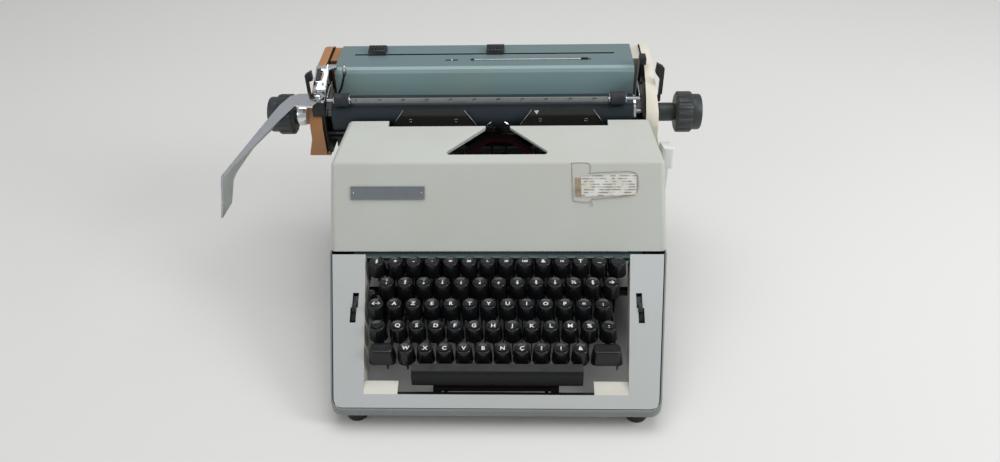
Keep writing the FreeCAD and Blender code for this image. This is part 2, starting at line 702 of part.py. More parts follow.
def card_holders():
    """Two flat tapering plates that hold a card against the platen."""
    things = []
    for side in (-1, 1):
        body = new_body(f"card_holder_{'left' if side < 0 else 'right'}")
        outline = [(f"{side} * 23", "188"), (f"{side} * 114", "188"), (f"{side} * 114", "193"),
                   (f"{side} * 101", "212"),
                   (f"{side} * 36", "212"), (f"{side} * 23", "193")]
        add(body, "XZ", outline, "hood_rear_y + 3.4", "hood_rear_y + 4.6")
        holes = [(f"{side} * 45", "199.5", "1.3"), (f"{side} * 94", "199.5", "1.3")]
        remove(body, "XZ", holes, "hood_rear_y + 3", "hood_rear_y + 5")
        things.append(body)
    return part("card_holders", group("card_holders", things))


def ribbon_reel(label, side):
    """Ribbon reel: two flanges, the wound ribbon between them and the spindle below."""
    x = f"{side} * reel_x"
    flange_low = rod(label + "_low", "Z", "reel_radius", "reel_low", "reel_low + 1", x, "reel_y")
    wound = rod(label + "_wound", "Z", "reel_radius - 5", "reel_low + 0.5", "reel_high - 0.5", x, "reel_y")
    flange_high = rod(label + "_high", "Z", "reel_radius", "reel_high - 1", "reel_high", x, "reel_y")
    spindle = rod(label + "_spindle", "Z", "3", "shelf_low + 3 + fit_gap", "reel_low + 1", x, "reel_y")
    return part(label, joined(label, [flange_low, wound, flange_high, spindle]))


def control_slide(label, side):
    """Small lever in a slot of the keyboard surround, on a plate that runs under it."""
    body = new_body(label)
    middle = f"((slot_low_y + slot_high_y) / 2 - case_front) / cos({SLOPE_ANGLE})"
    x = f"{side} * (slot_x - slot_step / 2)"

    def pad(half_x, half_s, low, high):
        add(body, "XY", [(f"{x} - {half_x}", f"{middle} - {half_s}"),
                         (f"{x} + {half_x}", f"{middle} - {half_s}"),
                         (f"{x} + {half_x}", f"{middle} + {half_s}"),
                         (f"{x} - {half_x}", f"{middle} + {half_s}")], low, high)

    pad("(slot_width / 2 - slot_step / 2 - fit_gap)", "4.5", "-plate_thick - 1", "1.5")
    pad("5", "13", "-plate_thick - fit_gap - 2", "-plate_thick - fit_gap")
    body.Placement = FreeCAD.Placement(V(0, 0, 0), FreeCAD.Rotation(V(1, 0, 0), 30))
    bind(body, Placement__Rotation__Angle=SLOPE_ANGLE, Placement__Base__y="case_front",
         Placement__Base__z="front_top")
    return part(label, body)


# ---- carriage -------------------------------------------------------------------------

def cx(offset):
    """An X place on the carriage, counted from its middle."""
    return f"(carriage_x + ({offset}))"


def carriage_rail():
    """Fixed rail that the carriage runs on."""
    return part("carriage_rail", block("carriage_rail", "-frame_half - 10", "frame_half + 10", "rail_y",
                                       "rail_y + rail_width", "rail_top - 8", "rail_top"))


END_PLATE = [("268.5", "150"), ("266.5", "157"), ("258", "158"), ("258", "200"), ("270", "212"),
             ("284", "226"), ("300", "226"), ("318", "200"), ("330", "150")]
PAPER_RELEASE_Y, PAPER_RELEASE_Z = "309", "200.5"
FEED_ANGLES = (255, 295)
FEED_RADIUS = 6


def feed_place(angle):
    """Axis of a feed roller that touches the platen at an angle."""
    reach = f"(platen_radius + {FEED_RADIUS} + fit_gap)"
    return f"(platen_y + {reach} * cos({angle}))", f"(platen_z + {reach} * sin({angle}))"


def carriage_frame():
    """Two end plates on a channel that straddles the rail."""
    body = new_body("carriage_frame")
    inner, outer = "end_inner", "(end_inner + end_plate)"
    add(body, "YZ", END_PLATE, cx(f"-{outer}"), cx(f"-{inner}"))
    front, back = f"rail_y - fit_gap", "rail_y + rail_width + fit_gap"
    top = "rail_top + fit_gap"
    lip = "rail_top - 3.5"
    channel = [(f"{front} - 4", lip), (front, lip), (front, top), (back, top), (back, lip),
               (f"{back} + 4", lip),
               (f"{back} + 4", "156"), (f"{front} - 4", "156")]
    add(body, "YZ", channel, cx(f"-{inner} - 1"), cx(f"{inner} + 1"))
    add(body, "YZ", END_PLATE, cx(inner), cx(outer))
    holes = [("platen_y", "platen_z", "shaft_radius + shaft_clearance"),
             ("bail_pivot_y", "bail_pivot_z", "1.5 + pivot_clearance")]
    holes.append((PAPER_RELEASE_Y, PAPER_RELEASE_Z, "1.5 + pivot_clearance"))
    holes += [(*feed_place(angle), "2 + pivot_clearance") for angle in FEED_ANGLES]
    remove(body, "YZ", holes, cx(f"-{outer} - 1"), cx(f"{outer} + 1"))
    return part("carriage_frame", body)


def platen():
    """Rubber-covered roller on its shaft."""
    roller = rod("platen_roller", "X", "platen_radius", cx("-platen_half"), cx("platen_half"), "platen_y",
                 "platen_z")
    shaft = rod("platen_shaft", "X", "shaft_radius", cx("3 - disc_end"), cx("disc_end - 3"), "platen_y",
                "platen_z")
    return part("platen", joined("platen", [roller, shaft]))


def platen_knobs():
    """Knobs on both ends of the platen shaft: hub, grip and end disc."""
    things = []
    for side in (-1, 1):
        name = "knob_left" if side < 0 else "knob_right"
        stages = [("hub", "hub_radius", "end_inner + end_plate + cover_thick + 0.8", "knob_start"),
                  ("grip", "knob_radius", "knob_start", "knob_end"),
                  ("disc", "disc_radius", "knob_end", "disc_end")]
        solids = []
        for stage, radius, low, high in stages:
            ends = (cx(low), cx(high)) if side > 0 else (cx(f"-({high})"), cx(f"-({low})"))
            solids.append(rod(f"{name}_{stage}", "X", radius, *ends, "platen_y", "platen_z"))
        ends = (cx("150"), cx("disc_end - 3")) if side > 0 else (cx("3 - disc_end"), cx("-150"))
        bore = rod(f"{name}_bore", "X", "shaft_radius", *ends, "platen_y", "platen_z")
        things.append(cut(name, joined(name + "_solid", solids), [bore]))
    return part("platen_knobs", group("platen_knobs", things))


ROLLER_SPANS = [(-130, -90), (-20, 20), (90, 130)]


def feed_roller(label, angle):
    """Thin shaft with three rubber rollers that press the paper to the platen."""
    y, z = feed_place(angle)
    things = [rod(label + "_shaft", "X", "2", cx("-end_inner - 2"), cx("end_inner + 2"), y, z)]
    for i, (low, high) in enumerate(ROLLER_SPANS):
        things.append(rod(f"{label}_{i}", "X", FEED_RADIUS, cx(low), cx(high), y, z))
    return part(label, joined(label, things))


def paper_pan():
    """Curved trough under the platen, with windows for the feed rollers."""
    outer = rod("pan_outer", "X", "platen_radius + 2.2", cx("-end_inner"), cx("end_inner"), "platen_y",
                "platen_z")
    inner = rod("pan_inner", "X", "platen_radius + 1.2", cx("-end_inner - 1"), cx("end_inner + 1"),
                "platen_y", "platen_z")
    above = block("pan_above", cx("-end_inner - 1"), cx("end_inner + 1"), "platen_y - 40", "platen_y + 40",
                  "platen_z - 12", "platen_z + 40")
    windows = []
    for angle in FEED_ANGLES:
        y, z = feed_place(angle)
        for i, (low, high) in enumerate(ROLLER_SPANS):
            windows.append(rod(f"pan_window_{angle}_{i}", "X", f"{FEED_RADIUS} + 0.6", cx(low - 1),
                               cx(high + 1), y, z))
    return part("paper_pan", cut("paper_pan", outer, [inner, above] + windows))


COVER_LOW = "rail_top + 2"
RELEASE_Y, RELEASE_Z = "282", "210"


def end_cover(label, side):
    """Curved cover over one end of the carriage, flared at the bottom and filled in behind."""
    profile = [("268.5", COVER_LOW), ("266.5", "155"), ("hood_rear_y + 5", "155.5"),
               ("hood_rear_y + 5", "190"), ("hood_rear_y + 9", "203"), ("268", "215"),
               ("284", "227"), ("304", "shelf_z + 0.5"), ("shelf_rear_y - 8",
                                                          "shelf_z + 2"), ("shelf_rear_y + 4",
                                                                           "shelf_z - 2"),
               ("shelf_rear_y + 6", "shelf_z - 10"), ("shelf_rear_y + 6", COVER_LOW)]
    form = new_body(label + "_side")
    inner = "(end_inner + end_plate)"
    ends = [cx(f"{side} * 160"), cx(f"{side} * 205")]
    add(form, "YZ", profile, *(ends if side > 0 else ends[::-1]))
    front = new_body(label + "_front")
    outer = f"({inner} + cover_thick)"
    outline = [(cx(f"{side} * {inner}"), COVER_LOW), (cx(f"{side} * ({outer} + 8)"), COVER_LOW),
               (cx(f"{side} * {outer}"), "176"), (cx(f"{side} * ({outer} - 0.7)"), "205"),
               (cx(f"{side} * ({outer} - 5)"), "shelf_z + 4"), (cx(f"{side} * {inner}"), "shelf_z + 4")]
    add(front, "XZ", outline, "hood_rear_y + 4", "shelf_rear_y + 7")
    filler_ends = [cx(f"{side} * (platen_half + 0.5)"), cx(f"{side} * ({inner} + 2)")]
    filler = block(label + "_filler", *(filler_ends if side > 0 else filler_ends[::-1]), "331",
                   "shelf_rear_y + 5",
                   COVER_LOW, "shelf_z - 4")
    hole_ends = [cx(f"{side} * 150"), cx(f"{side} * 210")]
    hole = rod(label + "_hole", "X", "shaft_radius + 0.5", *(hole_ends if side > 0 else hole_ends[::-1]),
               "platen_y", "platen_z")
    seat_ends = [cx(f"{side} * ({outer} - 6)"), cx(f"{side} * 210")]
    seat = rod(label + "_seat", "X", "2 + pivot_clearance", *(seat_ends if side > 0 else seat_ends[::-1]),
               RELEASE_Y, RELEASE_Z)
    shape = joined(label + "_solid", [common(label + "_form", form, front), filler])
    return part(label, cut(label, shape, [hole, seat]))


SUPPORT_Z = "(shelf_z - 3.1)"


def paper_table():
    """Bent sheet behind the platen: an upright panel and a shelf with the margin slot."""
    body = new_body("paper_table")
    edge = "platen_y + platen_radius + 1.5"
    thick = "sheet_thick"
    profile = [(edge, "203"), (f"{edge} + 3", "shelf_z - 5"), (f"{edge} + 5", "shelf_z - 1.5"),
               ("shelf_front_y", "shelf_z"),
               ("shelf_rear_y", "shelf_z"), ("shelf_rear_y + 2", "shelf_z - 2"), ("shelf_rear_y + 2",
                                                                                  "shelf_z - 16"),
               (f"shelf_rear_y + 2 - {thick}", "shelf_z - 16"), (f"shelf_rear_y + 2 - {thick}",
                                                                 f"shelf_z - {thick}"),
               ("shelf_front_y", f"shelf_z - {thick}"), (f"{edge} + 5 + {thick}", f"shelf_z - 2 - {thick}"),
               (f"{edge} + 3 + {thick}", f"shelf_z - 5 - {thick}"), (f"{edge} + {thick}", "203")]
    add(body, "YZ", profile, cx("-platen_half - 0.2"), cx("platen_half + 0.2"))
    slots = [[(cx("-147"), "335.5"), (cx("145"), "335.5"), (cx("145"), "338.5"), (cx("-147"), "338.5")],
             [(cx("-43"), "320.5"), (cx("-29"), "320.5"), (cx("-29"), "323.5"), (cx("-43"), "323.5")],
             [(cx("-15"), "320.5"), (cx("118"), "320.5"), (cx("118"), "323.5"), (cx("-15"), "323.5")]]
    remove(body, "XY", slots, "shelf_z - 5", "shelf_z + 1")
    ear = [(cx("108"), "shelf_z - 4.8"), (cx("114"), "shelf_z - 4.8"), (cx("115"), "shelf_z - 1"),
           (cx("107"), "shelf_z - 1")]
    for low, high in (("318.4", "320.4"), ("323.6", "325.6")):
        add(body, "XZ", ear, low, high)
    remove(body, "XZ", (cx("111"), SUPPORT_Z, "1 + pivot_clearance"), "318", "326")
    return part("paper_table", body)


def margin_stop(label, low):
    """Margin stop that slides along the slot of the shelf."""
    body = new_body(label)
    add(body, "YZ", [("334", "shelf_z + fit_gap"), ("352", "shelf_z + fit_gap"), ("352", "shelf_z + 4"),
                     ("347", "shelf_z + 7"),
                     ("337", "shelf_z + 5")], cx(low), cx(f"{low} + 20"))
    add(body, "YZ", [("335.8", "shelf_z - 4"), ("338.2", "shelf_z - 4"), ("338.2", "shelf_z + 1"),
                     ("335.8", "shelf_z + 1")],
        cx(f"{low} + 2"), cx(f"{low} + 18"))
    return part(label, body)


def paper_support():
    """Rod that lies in a slot of the shelf and swings up behind the paper."""
    lying = rod("support_rod", "X", "1", cx("-13"), cx("111"), "322", "shelf_z")
    cheek = new_body("support_cheek")
    outline = [(cx("109.5"), "shelf_z - 4.7"), (cx("112.5"), "shelf_z - 4.7"), (cx("115"), "shelf_z - 2"),
               (cx("115"), "shelf_z + 1.6"), (cx("107"), "shelf_z + 1.6"), (cx("107"), "shelf_z - 1.2")]
    add(cheek, "XZ", outline, "320.9", "323.1")
    pin = rod("support_pin", "Y", "1", "318.2", "325.8", cx("111"), SUPPORT_Z)
    return part("paper_support", joined("paper_support", [lying, cheek, pin]))


def paper_bail():
    """Rod with its scale, on two arms that turn in the end plates."""
    reach = "end_inner - 3"
    things = [rod("bail_rod", "X", "bail_radius", cx(f"-({reach})"), cx(reach), "bail_y", "bail_z"),
              block("bail_scale", cx("-140.5"), cx("133"), "bail_y - 2.4", "bail_y - 1.2", "bail_z - 2.6",
                    "bail_z + 2.6")]
    for side in (-1, 1):
        body = new_body("bail_arm_left" if side < 0 else "bail_arm_right")
        ends = [cx(f"{side} * ({reach} - 1.5)"), cx(f"{side} * ({reach})")]
        outline = [("bail_y - 4", "bail_z - 2"), ("bail_pivot_y + 3", "bail_pivot_z - 3.5"),
                   ("bail_pivot_y + 4", "bail_pivot_z + 3"),
                   ("bail_y - 2", "bail_z + 4")]
        add(body, "YZ", outline, *(ends if side > 0 else ends[::-1]))
        pins = [cx(f"{side} * ({reach} - 0.5)"), cx(f"{side} * (end_inner + 2.5)")]
        pin = rod(body.Name + "_pin", "X", "1.5", *(pins if side > 0 else pins[::-1]), "bail_pivot_y",
                  "bail_pivot_z")
        things += [body, pin]
    return part("paper_bail", joined("paper_bail", things))


def bail_rollers():
    """Two rubber rollers on the bail rod."""
    things = []
    for name, low, high in (("left", "-158", "-142.8"), ("right", "135.4", "151.2")):
        roller = rod(f"bail_roller_{name}_solid", "X", "bail_roller_radius", cx(low), cx(high), "bail_y",
                     "bail_z")
        bore = rod(f"bail_roller_{name}_bore", "X", "bail_radius + pivot_clearance", cx(f"{low} - 1"),
                   cx(f"{high} + 1"),
                   "bail_y", "bail_z")
        things.append(cut(f"bail_roller_{name}", roller, [bore]))
    return part("bail_rollers", group("bail_rollers", things))


LEVER_X, LEVER_Y = "-177", "264"


def lever_bracket():
    """Bracket over the left end cover with the pivot pin of the return lever."""
    body = new_body("lever_bracket")
    outline = [("258", "203"), ("268", "215"), ("284", "227"), ("304", "shelf_z + 0.5"),
               ("302", "shelf_z + 4.5"),
               ("281", "231"), ("272.5", "227"), ("272.5", "220"), ("255.5", "220"), ("255.5", "203")]
    add(body, "YZ", outline, cx("-183"), cx("-169.3"))
    foot = [(cx("-171"), "296.5"), (cx("-169.3"), "296.5"), (cx("-161"), "300.5"), (cx("-161"), "304.5"),
            (cx("-171"), "304.5")]
    add(body, "XY", foot, "shelf_z + 0.6", "shelf_z + 4.5")
    slot = [(cx("-180"), "283"), (cx("-176"), "283"), (cx("-175"), "296"), (cx("-179"), "296")]
    remove(body, "XY", slot, "224", "shelf_z + 6")
    add(body, "XY", (cx(LEVER_X), LEVER_Y, "3"), "219", "225")
    return part("lever_bracket", body)


LEVER_REACH = "64"


def return_lever():
    """Long lever for the line feed and the carriage return, with a curved finger plate at its end."""
    hub = rod("lever_hub", "Z", "7", "220 + fit_gap", "223.3", cx(LEVER_X), LEVER_Y)
    blade = new_body("lever_blade")
    near_edge = [("6", "5"), ("6", "-4"), ("-2", "-19"), ("-20", "-17"), ("-32", "-46"),
                 (f"-{LEVER_REACH}", "-134")]
    far_edge = [(f"-{LEVER_REACH} - 2.5", "-134"), ("-58", "-100"), ("-45", "-46"), ("-37", "-16"),
                ("-29", "1"), ("-20", "5")]
    add(blade, "XY", near_edge + far_edge, "0", "2.4")
    blade.Placement = FreeCAD.Placement(V(0, 264, 221.2), FreeCAD.Rotation(V(1, 0, 0), 5))
    bind(blade, Placement__Base__x=cx(LEVER_X))
    finger = new_body("lever_finger")
    under_blade = [("46", "3.5"), ("46", "1.8"), ("34", "-1.5"), ("17", "-7")]
    plate = [("10.5", "-11"), ("6", "-20"), ("0", "-32"), ("-17.5", "-38.5"), ("-11.6", "-25.5"),
             ("-7", "-11"), ("-3", "0")]
    add(finger, "YZ", under_blade + plate, "-2.2", "0")
    finger.Placement = FreeCAD.Placement(V(0, 130.8, 211), FreeCAD.Rotation(V(0, 0, 1), -20))
    bind(finger, Placement__Base__x=cx(f"{LEVER_X} - {LEVER_REACH}"))
    bore = rod("lever_bore", "Z", "3 + pivot_clearance", "200", "240", cx(LEVER_X), LEVER_Y)
    return part("return_lever", cut("return_lever", joined("return_lever_solid", [hub, blade, finger]),
                                    [bore]))


def carriage_release(label, side):
    """Tapered lever outside an end cover that frees the carriage; the left one is shorter."""
    outer = "(end_inner + end_plate + cover_thick)"
    top = "(shelf_z + 14)" if side > 0 else "(shelf_z + 8)"
    body = new_body(label)
    outline = [(cx(f"{side} * ({outer} + 0.6)"), f"{RELEASE_Z} - 4"),
               (cx(f"{side} * ({outer} + 3)"), f"{RELEASE_Z} - 4"),
               (cx(f"{side} * ({outer} + 3)"), f"{top} - 4"), (cx(f"{side} * ({outer} - 4)"), top),
               (cx(f"{side} * ({outer} - 5)"), f"{top} - 10"), (cx(f"{side} * ({outer} + 0.6)"),
                                                                "shelf_z - 4")]
    add(body, "XZ", outline, f"{RELEASE_Y} - 3", f"{RELEASE_Y} + 3")
    ends = [cx(f"{side} * ({outer} - 5.5)"), cx(f"{side} * ({outer} + 1.5)")]
    add(body, "YZ", (RELEASE_Y, RELEASE_Z, "2"), *(ends if side > 0 else ends[::-1]))
    return part(label, body)


def paper_release_lever():
    """Lever inside the right end plate that lifts the feed rollers off the platen."""
    stem = new_body("release_stem")
    add(stem, "YZ", [("305.5", "197"), ("312.5", "197"), ("313", "208"), ("308", "shelf_z + 5"),
                     ("300", "shelf_z + 5"),
                     ("306.5", "210")], cx("end_inner - 2.6"), cx("end_inner - 0.3"))
    pin = rod("release_pin", "X", "1.5", cx("end_inner - 1"), cx("end_inner + 2.5"), PAPER_RELEASE_Y,
              PAPER_RELEASE_Z)
    pad = block("release_pad", cx("end_inner - 2.6"), cx("end_inner + 4"), "297", "310", "shelf_z + 4.5",
                "shelf_z + 12")
    return part("paper_release_lever", joined("paper_release_lever", [stem, pad, pin]))


lower_shell()
rear_cover()
keyboard_surround()
hood()
main_frame()
feet()
key_well_panel()
brake_housing()
front_bracket()
space_bar()
key_stop_bar()
key_pivot_rod()
keyboard()
typebar_segment()
typebars()
ribbon_vibrator()
type_guide()
card_holders()
ribbon_reel("ribbon_reel_left", -1)
ribbon_reel("ribbon_reel_right", 1)
control_slide("control_slide_left", -1)
control_slide("control_slide_right", 1)
carriage_rail()
carriage_frame()
platen()
platen_knobs()
feed_roller("feed_roller_front", FEED_ANGLES[0])
feed_roller("feed_roller_rear", FEED_ANGLES[1])
paper_pan()
end_cover("end_cover_left", -1)
end_cover("end_cover_right", 1)
paper_table()
margin_stop("margin_stop_left", "-131.5")
margin_stop("margin_stop_right", "2")
paper_support()
paper_bail()
bail_rollers()
lever_bracket()
return_lever()
carriage_release("carriage_release_left", -1)
carriage_release("carriage_release_right", 1)
paper_release_lever()


# ---- checks and files -----------------------------------------------------------------

doc.recompute()
faults = [o.Name for o in doc.Objects if "Invalid" in o.State or "Error" in o.State]
faults += [p.Label for p in PARTS if p.Shape.isNull() or not p.Shape.isValid()]
if faults:
    raise RuntimeError("not built: " + ", ".join(faults))
os.makedirs("parts", exist_ok=True)
for thing in PARTS:
    thing.Shape.exportStep(f"parts/{thing.Label}.step")
    box = thing.Shape.BoundBox
    print(f"{thing.Label:24s} solids {len(thing.Shape.Solids):3d} volume {thing.Shape.Volume:10.0f} "
          f"X {box.XMin:7.1f} {box.XMax:7.1f} Y {box.YMin:7.1f} {box.YMax:7.1f} "
          f"Z {box.ZMin:6.1f} {box.ZMax:6.1f}")
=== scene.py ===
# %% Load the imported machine
import json
import math
import bmesh
import bpy
from mathutils import Matrix, Vector


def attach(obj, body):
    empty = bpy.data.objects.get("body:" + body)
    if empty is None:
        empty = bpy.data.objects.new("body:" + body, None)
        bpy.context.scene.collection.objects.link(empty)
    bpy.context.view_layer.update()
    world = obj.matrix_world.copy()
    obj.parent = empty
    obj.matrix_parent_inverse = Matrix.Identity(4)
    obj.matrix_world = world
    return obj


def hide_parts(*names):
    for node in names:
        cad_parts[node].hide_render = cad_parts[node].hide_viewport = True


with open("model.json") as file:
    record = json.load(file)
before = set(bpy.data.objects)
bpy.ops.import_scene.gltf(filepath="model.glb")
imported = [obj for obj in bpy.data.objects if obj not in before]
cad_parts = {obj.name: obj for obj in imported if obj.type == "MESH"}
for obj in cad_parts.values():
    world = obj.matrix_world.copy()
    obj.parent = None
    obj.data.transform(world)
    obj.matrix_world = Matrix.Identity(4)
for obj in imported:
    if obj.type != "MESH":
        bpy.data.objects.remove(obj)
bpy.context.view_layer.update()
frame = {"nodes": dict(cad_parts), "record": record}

# %% [markdown]
# Drawings of a typewriter count millimetres from its middle plane and its front edge, so the
# pieces below do too. One matrix takes such a drawing to metres on the table. It is applied to
# the mesh and not to the object, so every finished piece sits at the origin, as the CAD nodes do.

# %% Millimetres on the machine to metres on the table
MIDDLE_X, FRONT_Y = 23.5, -184.0
TO_TABLE = Matrix.Scale(0.001, 4) @ Matrix.Translation((MIDDLE_X, FRONT_Y, 0))
TO_MACHINE = TO_TABLE.inverted()


def spot(x, y, z):
    return TO_TABLE @ Vector((x, y, z))


print("front edge of the case at", spot(0, 2, 24))

# %% [markdown]
# The camera comes first, because it decides which pieces need the closest work. It stands above
# the typist's chair, looking down at the keys, with a wide lens. Its three axes are written as
# the columns of a rotation matrix, built from the pitch, the yaw and the roll.

# %% The camera above the typist's chair
EYE = spot(30.8, -505.96, 638.91)
PITCH, YAW, ROLL = math.radians(37.848), math.radians(2.418), math.radians(-1.566)
FOCAL_LENGTH, FRAME_WIDTH, SENSOR_WIDTH = 811.8, 1000, 36
level = Matrix(((1, 0, 0), (0, 0, -1), (0, 1, 0)))
look = (Matrix.Rotation(ROLL, 3, "Z") @ Matrix.Rotation(PITCH, 3, "X") @ level
        @ Matrix.Rotation(-YAW, 3, "Z"))
right, down, ahead = (Vector(row) for row in look)
turn = Matrix((right, -down, -ahead)).transposed()
camera = bpy.data.objects.new("camera", bpy.data.cameras.new("camera"))
bpy.context.scene.collection.objects.link(camera)
camera.matrix_world = Matrix.Translation(EYE) @ turn.to_4x4()
camera.data.sensor_width = SENSOR_WIDTH
camera.data.lens = FOCAL_LENGTH / FRAME_WIDTH * SENSOR_WIDTH
camera.data.clip_start = 0.01
bpy.context.scene.camera = camera
print("camera at", camera.location, "lens", round(camera.data.lens, 2))

# %% [markdown]
# Shader maths reads best as Python. A Wire wraps one socket of a material, and its operators add
# Math nodes, so 1 - mask or grain * 0.2 work as written. Everything else that a node tree needs
# comes from Finish.node, which takes the node's type, its settings and its inputs.

# %% Shader maths as expressions
class Wire:
    """One output socket of a finish, with arithmetic."""

    def __init__(self, finish, socket):
        self.finish = finish
        self.socket = socket

    def maths(self, operation, *values, clamp=False):
        settings = {"operation": operation, "use_clamp": clamp}
        return self.finish.node("ShaderNodeMath", settings, dict(enumerate(values)))

    def __add__(self, other):
        return self.maths("ADD", self, other)

    def __sub__(self, other):
        return self.maths("SUBTRACT", self, other)

    def __rsub__(self, other):
        return self.maths("SUBTRACT", other, self)

    def __mul__(self, other):
        return self.maths("MULTIPLY", self, other)

    def above(self, low, high):
        """0 below low, 1 above high and a straight ramp between."""
        return self.maths("MULTIPLY", self - low, 1 / (high - low), clamp=True)

    def wave(self, turns):
        """A sine from 0 to 1, with that many turns for each unit."""
        return self.maths("SINE", self * (turns * math.tau)) * 0.5 + 0.5

    __radd__ = __add__
    __rmul__ = __mul__


print("a wire adds, subtracts, multiplies, ramps and waves")

# %% [markdown]
# A Finish is one material and its Principled shader. What is the same all over goes straight to
# the shader's own sockets when the finish is made. What varies is a Wire, and feed links it to
# Base Color or Roughness, or a bump links it to Normal.

# %% The nodes of one material
class Finish:
    """The nodes of one material, built round a Principled shader."""

    def __init__(self, name, **constants):
        self.material = bpy.data.materials.new(name)
        self.material.use_nodes = True
        self.tree = self.material.node_tree
        self.shader = self.tree.nodes["Principled BSDF"]
        for socket, value in constants.items():
            self.shader.inputs[socket.replace("_", " ")].default_value = value

    def node(self, kind, settings=None, inputs=None, output=0):
        made = self.tree.nodes.new(kind)
        for name, value in (settings or {}).items():
            setattr(made, name, value)
        for key, value in (inputs or {}).items():
            if isinstance(value, Wire):
                self.tree.links.new(value.socket, made.inputs[key])
            else:
                made.inputs[key].default_value = value
        return Wire(self, made.outputs[output])

    def feed(self, socket, wire):
        self.tree.links.new(wire.socket, self.shader.inputs[socket])

    def place(self, scale=(1, 1, 1)):
        """Object coordinates in metres, stretched."""
        spots = self.node("ShaderNodeTexCoord", output="Object")
        return self.node("ShaderNodeMapping", None, {"Vector": spots, "Scale": scale})

    def along(self, axis, source=None):
        """One coordinate: metres on the table, or the source's own."""
        spots = source or self.node("ShaderNodeTexCoord", output="Object")
        return self.node("ShaderNodeSeparateXYZ", None, {0: spots}, output=axis)

    def noise(self, size, detail=3.0, scale=(1, 1, 1), roughness=0.5):
        """Cloudy noise with features of about size metres."""
        inputs = {"Vector": self.place(scale), "Scale": 1 / size, "Detail": detail,
                  "Roughness": roughness}
        return self.node("ShaderNodeTexNoise", {"noise_dimensions": "3D"}, inputs)

    def mix(self, factor, first, second):
        """A colour between two, by a wire."""
        settings = {"data_type": "RGBA", "blend_type": "MIX"}
        return self.node("ShaderNodeMix", settings, {0: factor, 6: first, 7: second}, output=2)

    def bump(self, height, strength, distance):
        inputs = {"Height": height, "Strength": strength, "Distance": distance}
        self.feed("Normal", self.node("ShaderNodeBump", None, inputs))


print("a finish places, mixes and bumps")

# %% Colours as a screen shows them
def rgb(red, green, blue):
    """Red, green and blue from 0 to 255, turned into the linear values that shaders use."""
    def linear(value):
        value /= 255
        return value / 12.92 if value <= 0.04045 else ((value + 0.055) / 1.055) ** 2.4
    return (linear(red), linear(green), linear(blue), 1)


def shade(colour, factor):
    """The same colour, darker or paler."""
    return tuple(min(1, channel * factor) for channel in colour[:3]) + (1,)


print("a middle grey is", round(rgb(128, 128, 128)[0], 3))

# %% [markdown]
# The casing is steel, sprayed with a hammered enamel that has yellowed a little. Close up such
# paint has three scales: an orange-peel ripple of about a millimetre, fine speckle, and broad
# clouds of age and handling. Each is one noise, and the ripple goes to the bump only. Inside,
# the sheet metal is lined with dark felt, which quietens the machine; its near-black colour also
# stands for the shade inside the casing, as painted shade.

# %% Enamels of the casing
def enamel(name, colour, aged, rough, ripple=0.00006):
    paint = Finish(name, Specular_IOR_Level=0.45)
    clouds = paint.noise(0.07, 4).above(0.42, 0.72)
    specks = paint.noise(0.0009, 2).above(0.60, 0.72)
    tone = paint.mix(clouds * 0.55, colour, aged)
    paint.feed("Base Color", paint.mix(specks * 0.3, tone, shade(aged, 0.72)))
    paint.feed("Roughness", rough + clouds * 0.10 + specks * 0.06)
    paint.bump(paint.noise(0.0013, 2), 0.35, ripple)
    return paint.material


shell_grey = enamel("shell_grey", rgb(191, 194, 187), rgb(186, 186, 176), 0.42)
surround_grey = enamel("surround_grey", rgb(177, 181, 180), rgb(172, 173, 168), 0.34)
tab_cream = enamel("tab_cream", rgb(206, 204, 194), rgb(198, 193, 178), 0.40)
rim_grey = enamel("rim_grey", rgb(121, 128, 127), rgb(114, 120, 117), 0.26, 0.00003)
table_green = enamel("table_green", rgb(104, 125, 128), rgb(112, 127, 124), 0.34)
# The paper table's paler upright is painted light, and its fold line is a painted highlight.
upright_painted_light = enamel("upright_painted_light", rgb(136, 164, 165), rgb(146, 163, 156), 0.34)
fold_painted_highlight = enamel("fold_painted_highlight", rgb(138, 158, 159), rgb(126, 142, 142), 0.30)
# Dark felt lining; its near-black colour also paints the shade inside the casing.
felt = Finish("felt_and_painted_shade", Roughness=0.95, Specular_IOR_Level=0.15)
fluff = felt.noise(0.0015, 4).above(0.35, 0.7)
felt.feed("Base Color", felt.mix(fluff, rgb(26, 26, 27), rgb(44, 43, 42)))
felt.bump(felt.noise(0.0008, 4), 0.6, 0.0002)
felt_and_painted_shade = felt.material
print("enamels", shell_grey.name, surround_grey.name, rim_grey.name, table_green.name)

# %% [markdown]
# The end covers, the brake housing and the knobs are moulded in plastic, and so are the keys.
# Moulded plastic is smooth, so its life is in the gloss: faint handling marks change the
# roughness, and the colour hardly moves. The left cover is tan and darker than the right one: the
# darkness is painted shade, and part of the warm tan is the table's colour painted in as a
# reflection.

# %% Plastics
def moulded(name, colour, rough, wear=0.10, gloss=0.5, bloom=0.35):
    plastic = Finish(name, Specular_IOR_Level=gloss)
    smears = plastic.noise(0.012, 4, roughness=0.6).above(0.40, 0.75)
    pale = shade(tuple(channel + 0.003 for channel in colour[:3]), 1.3)
    plastic.feed("Base Color", plastic.mix(smears * bloom, colour, pale))
    plastic.feed("Roughness", rough + smears * wear)
    plastic.bump(plastic.noise(0.0006, 2), 0.15, 0.00002)
    return plastic.material


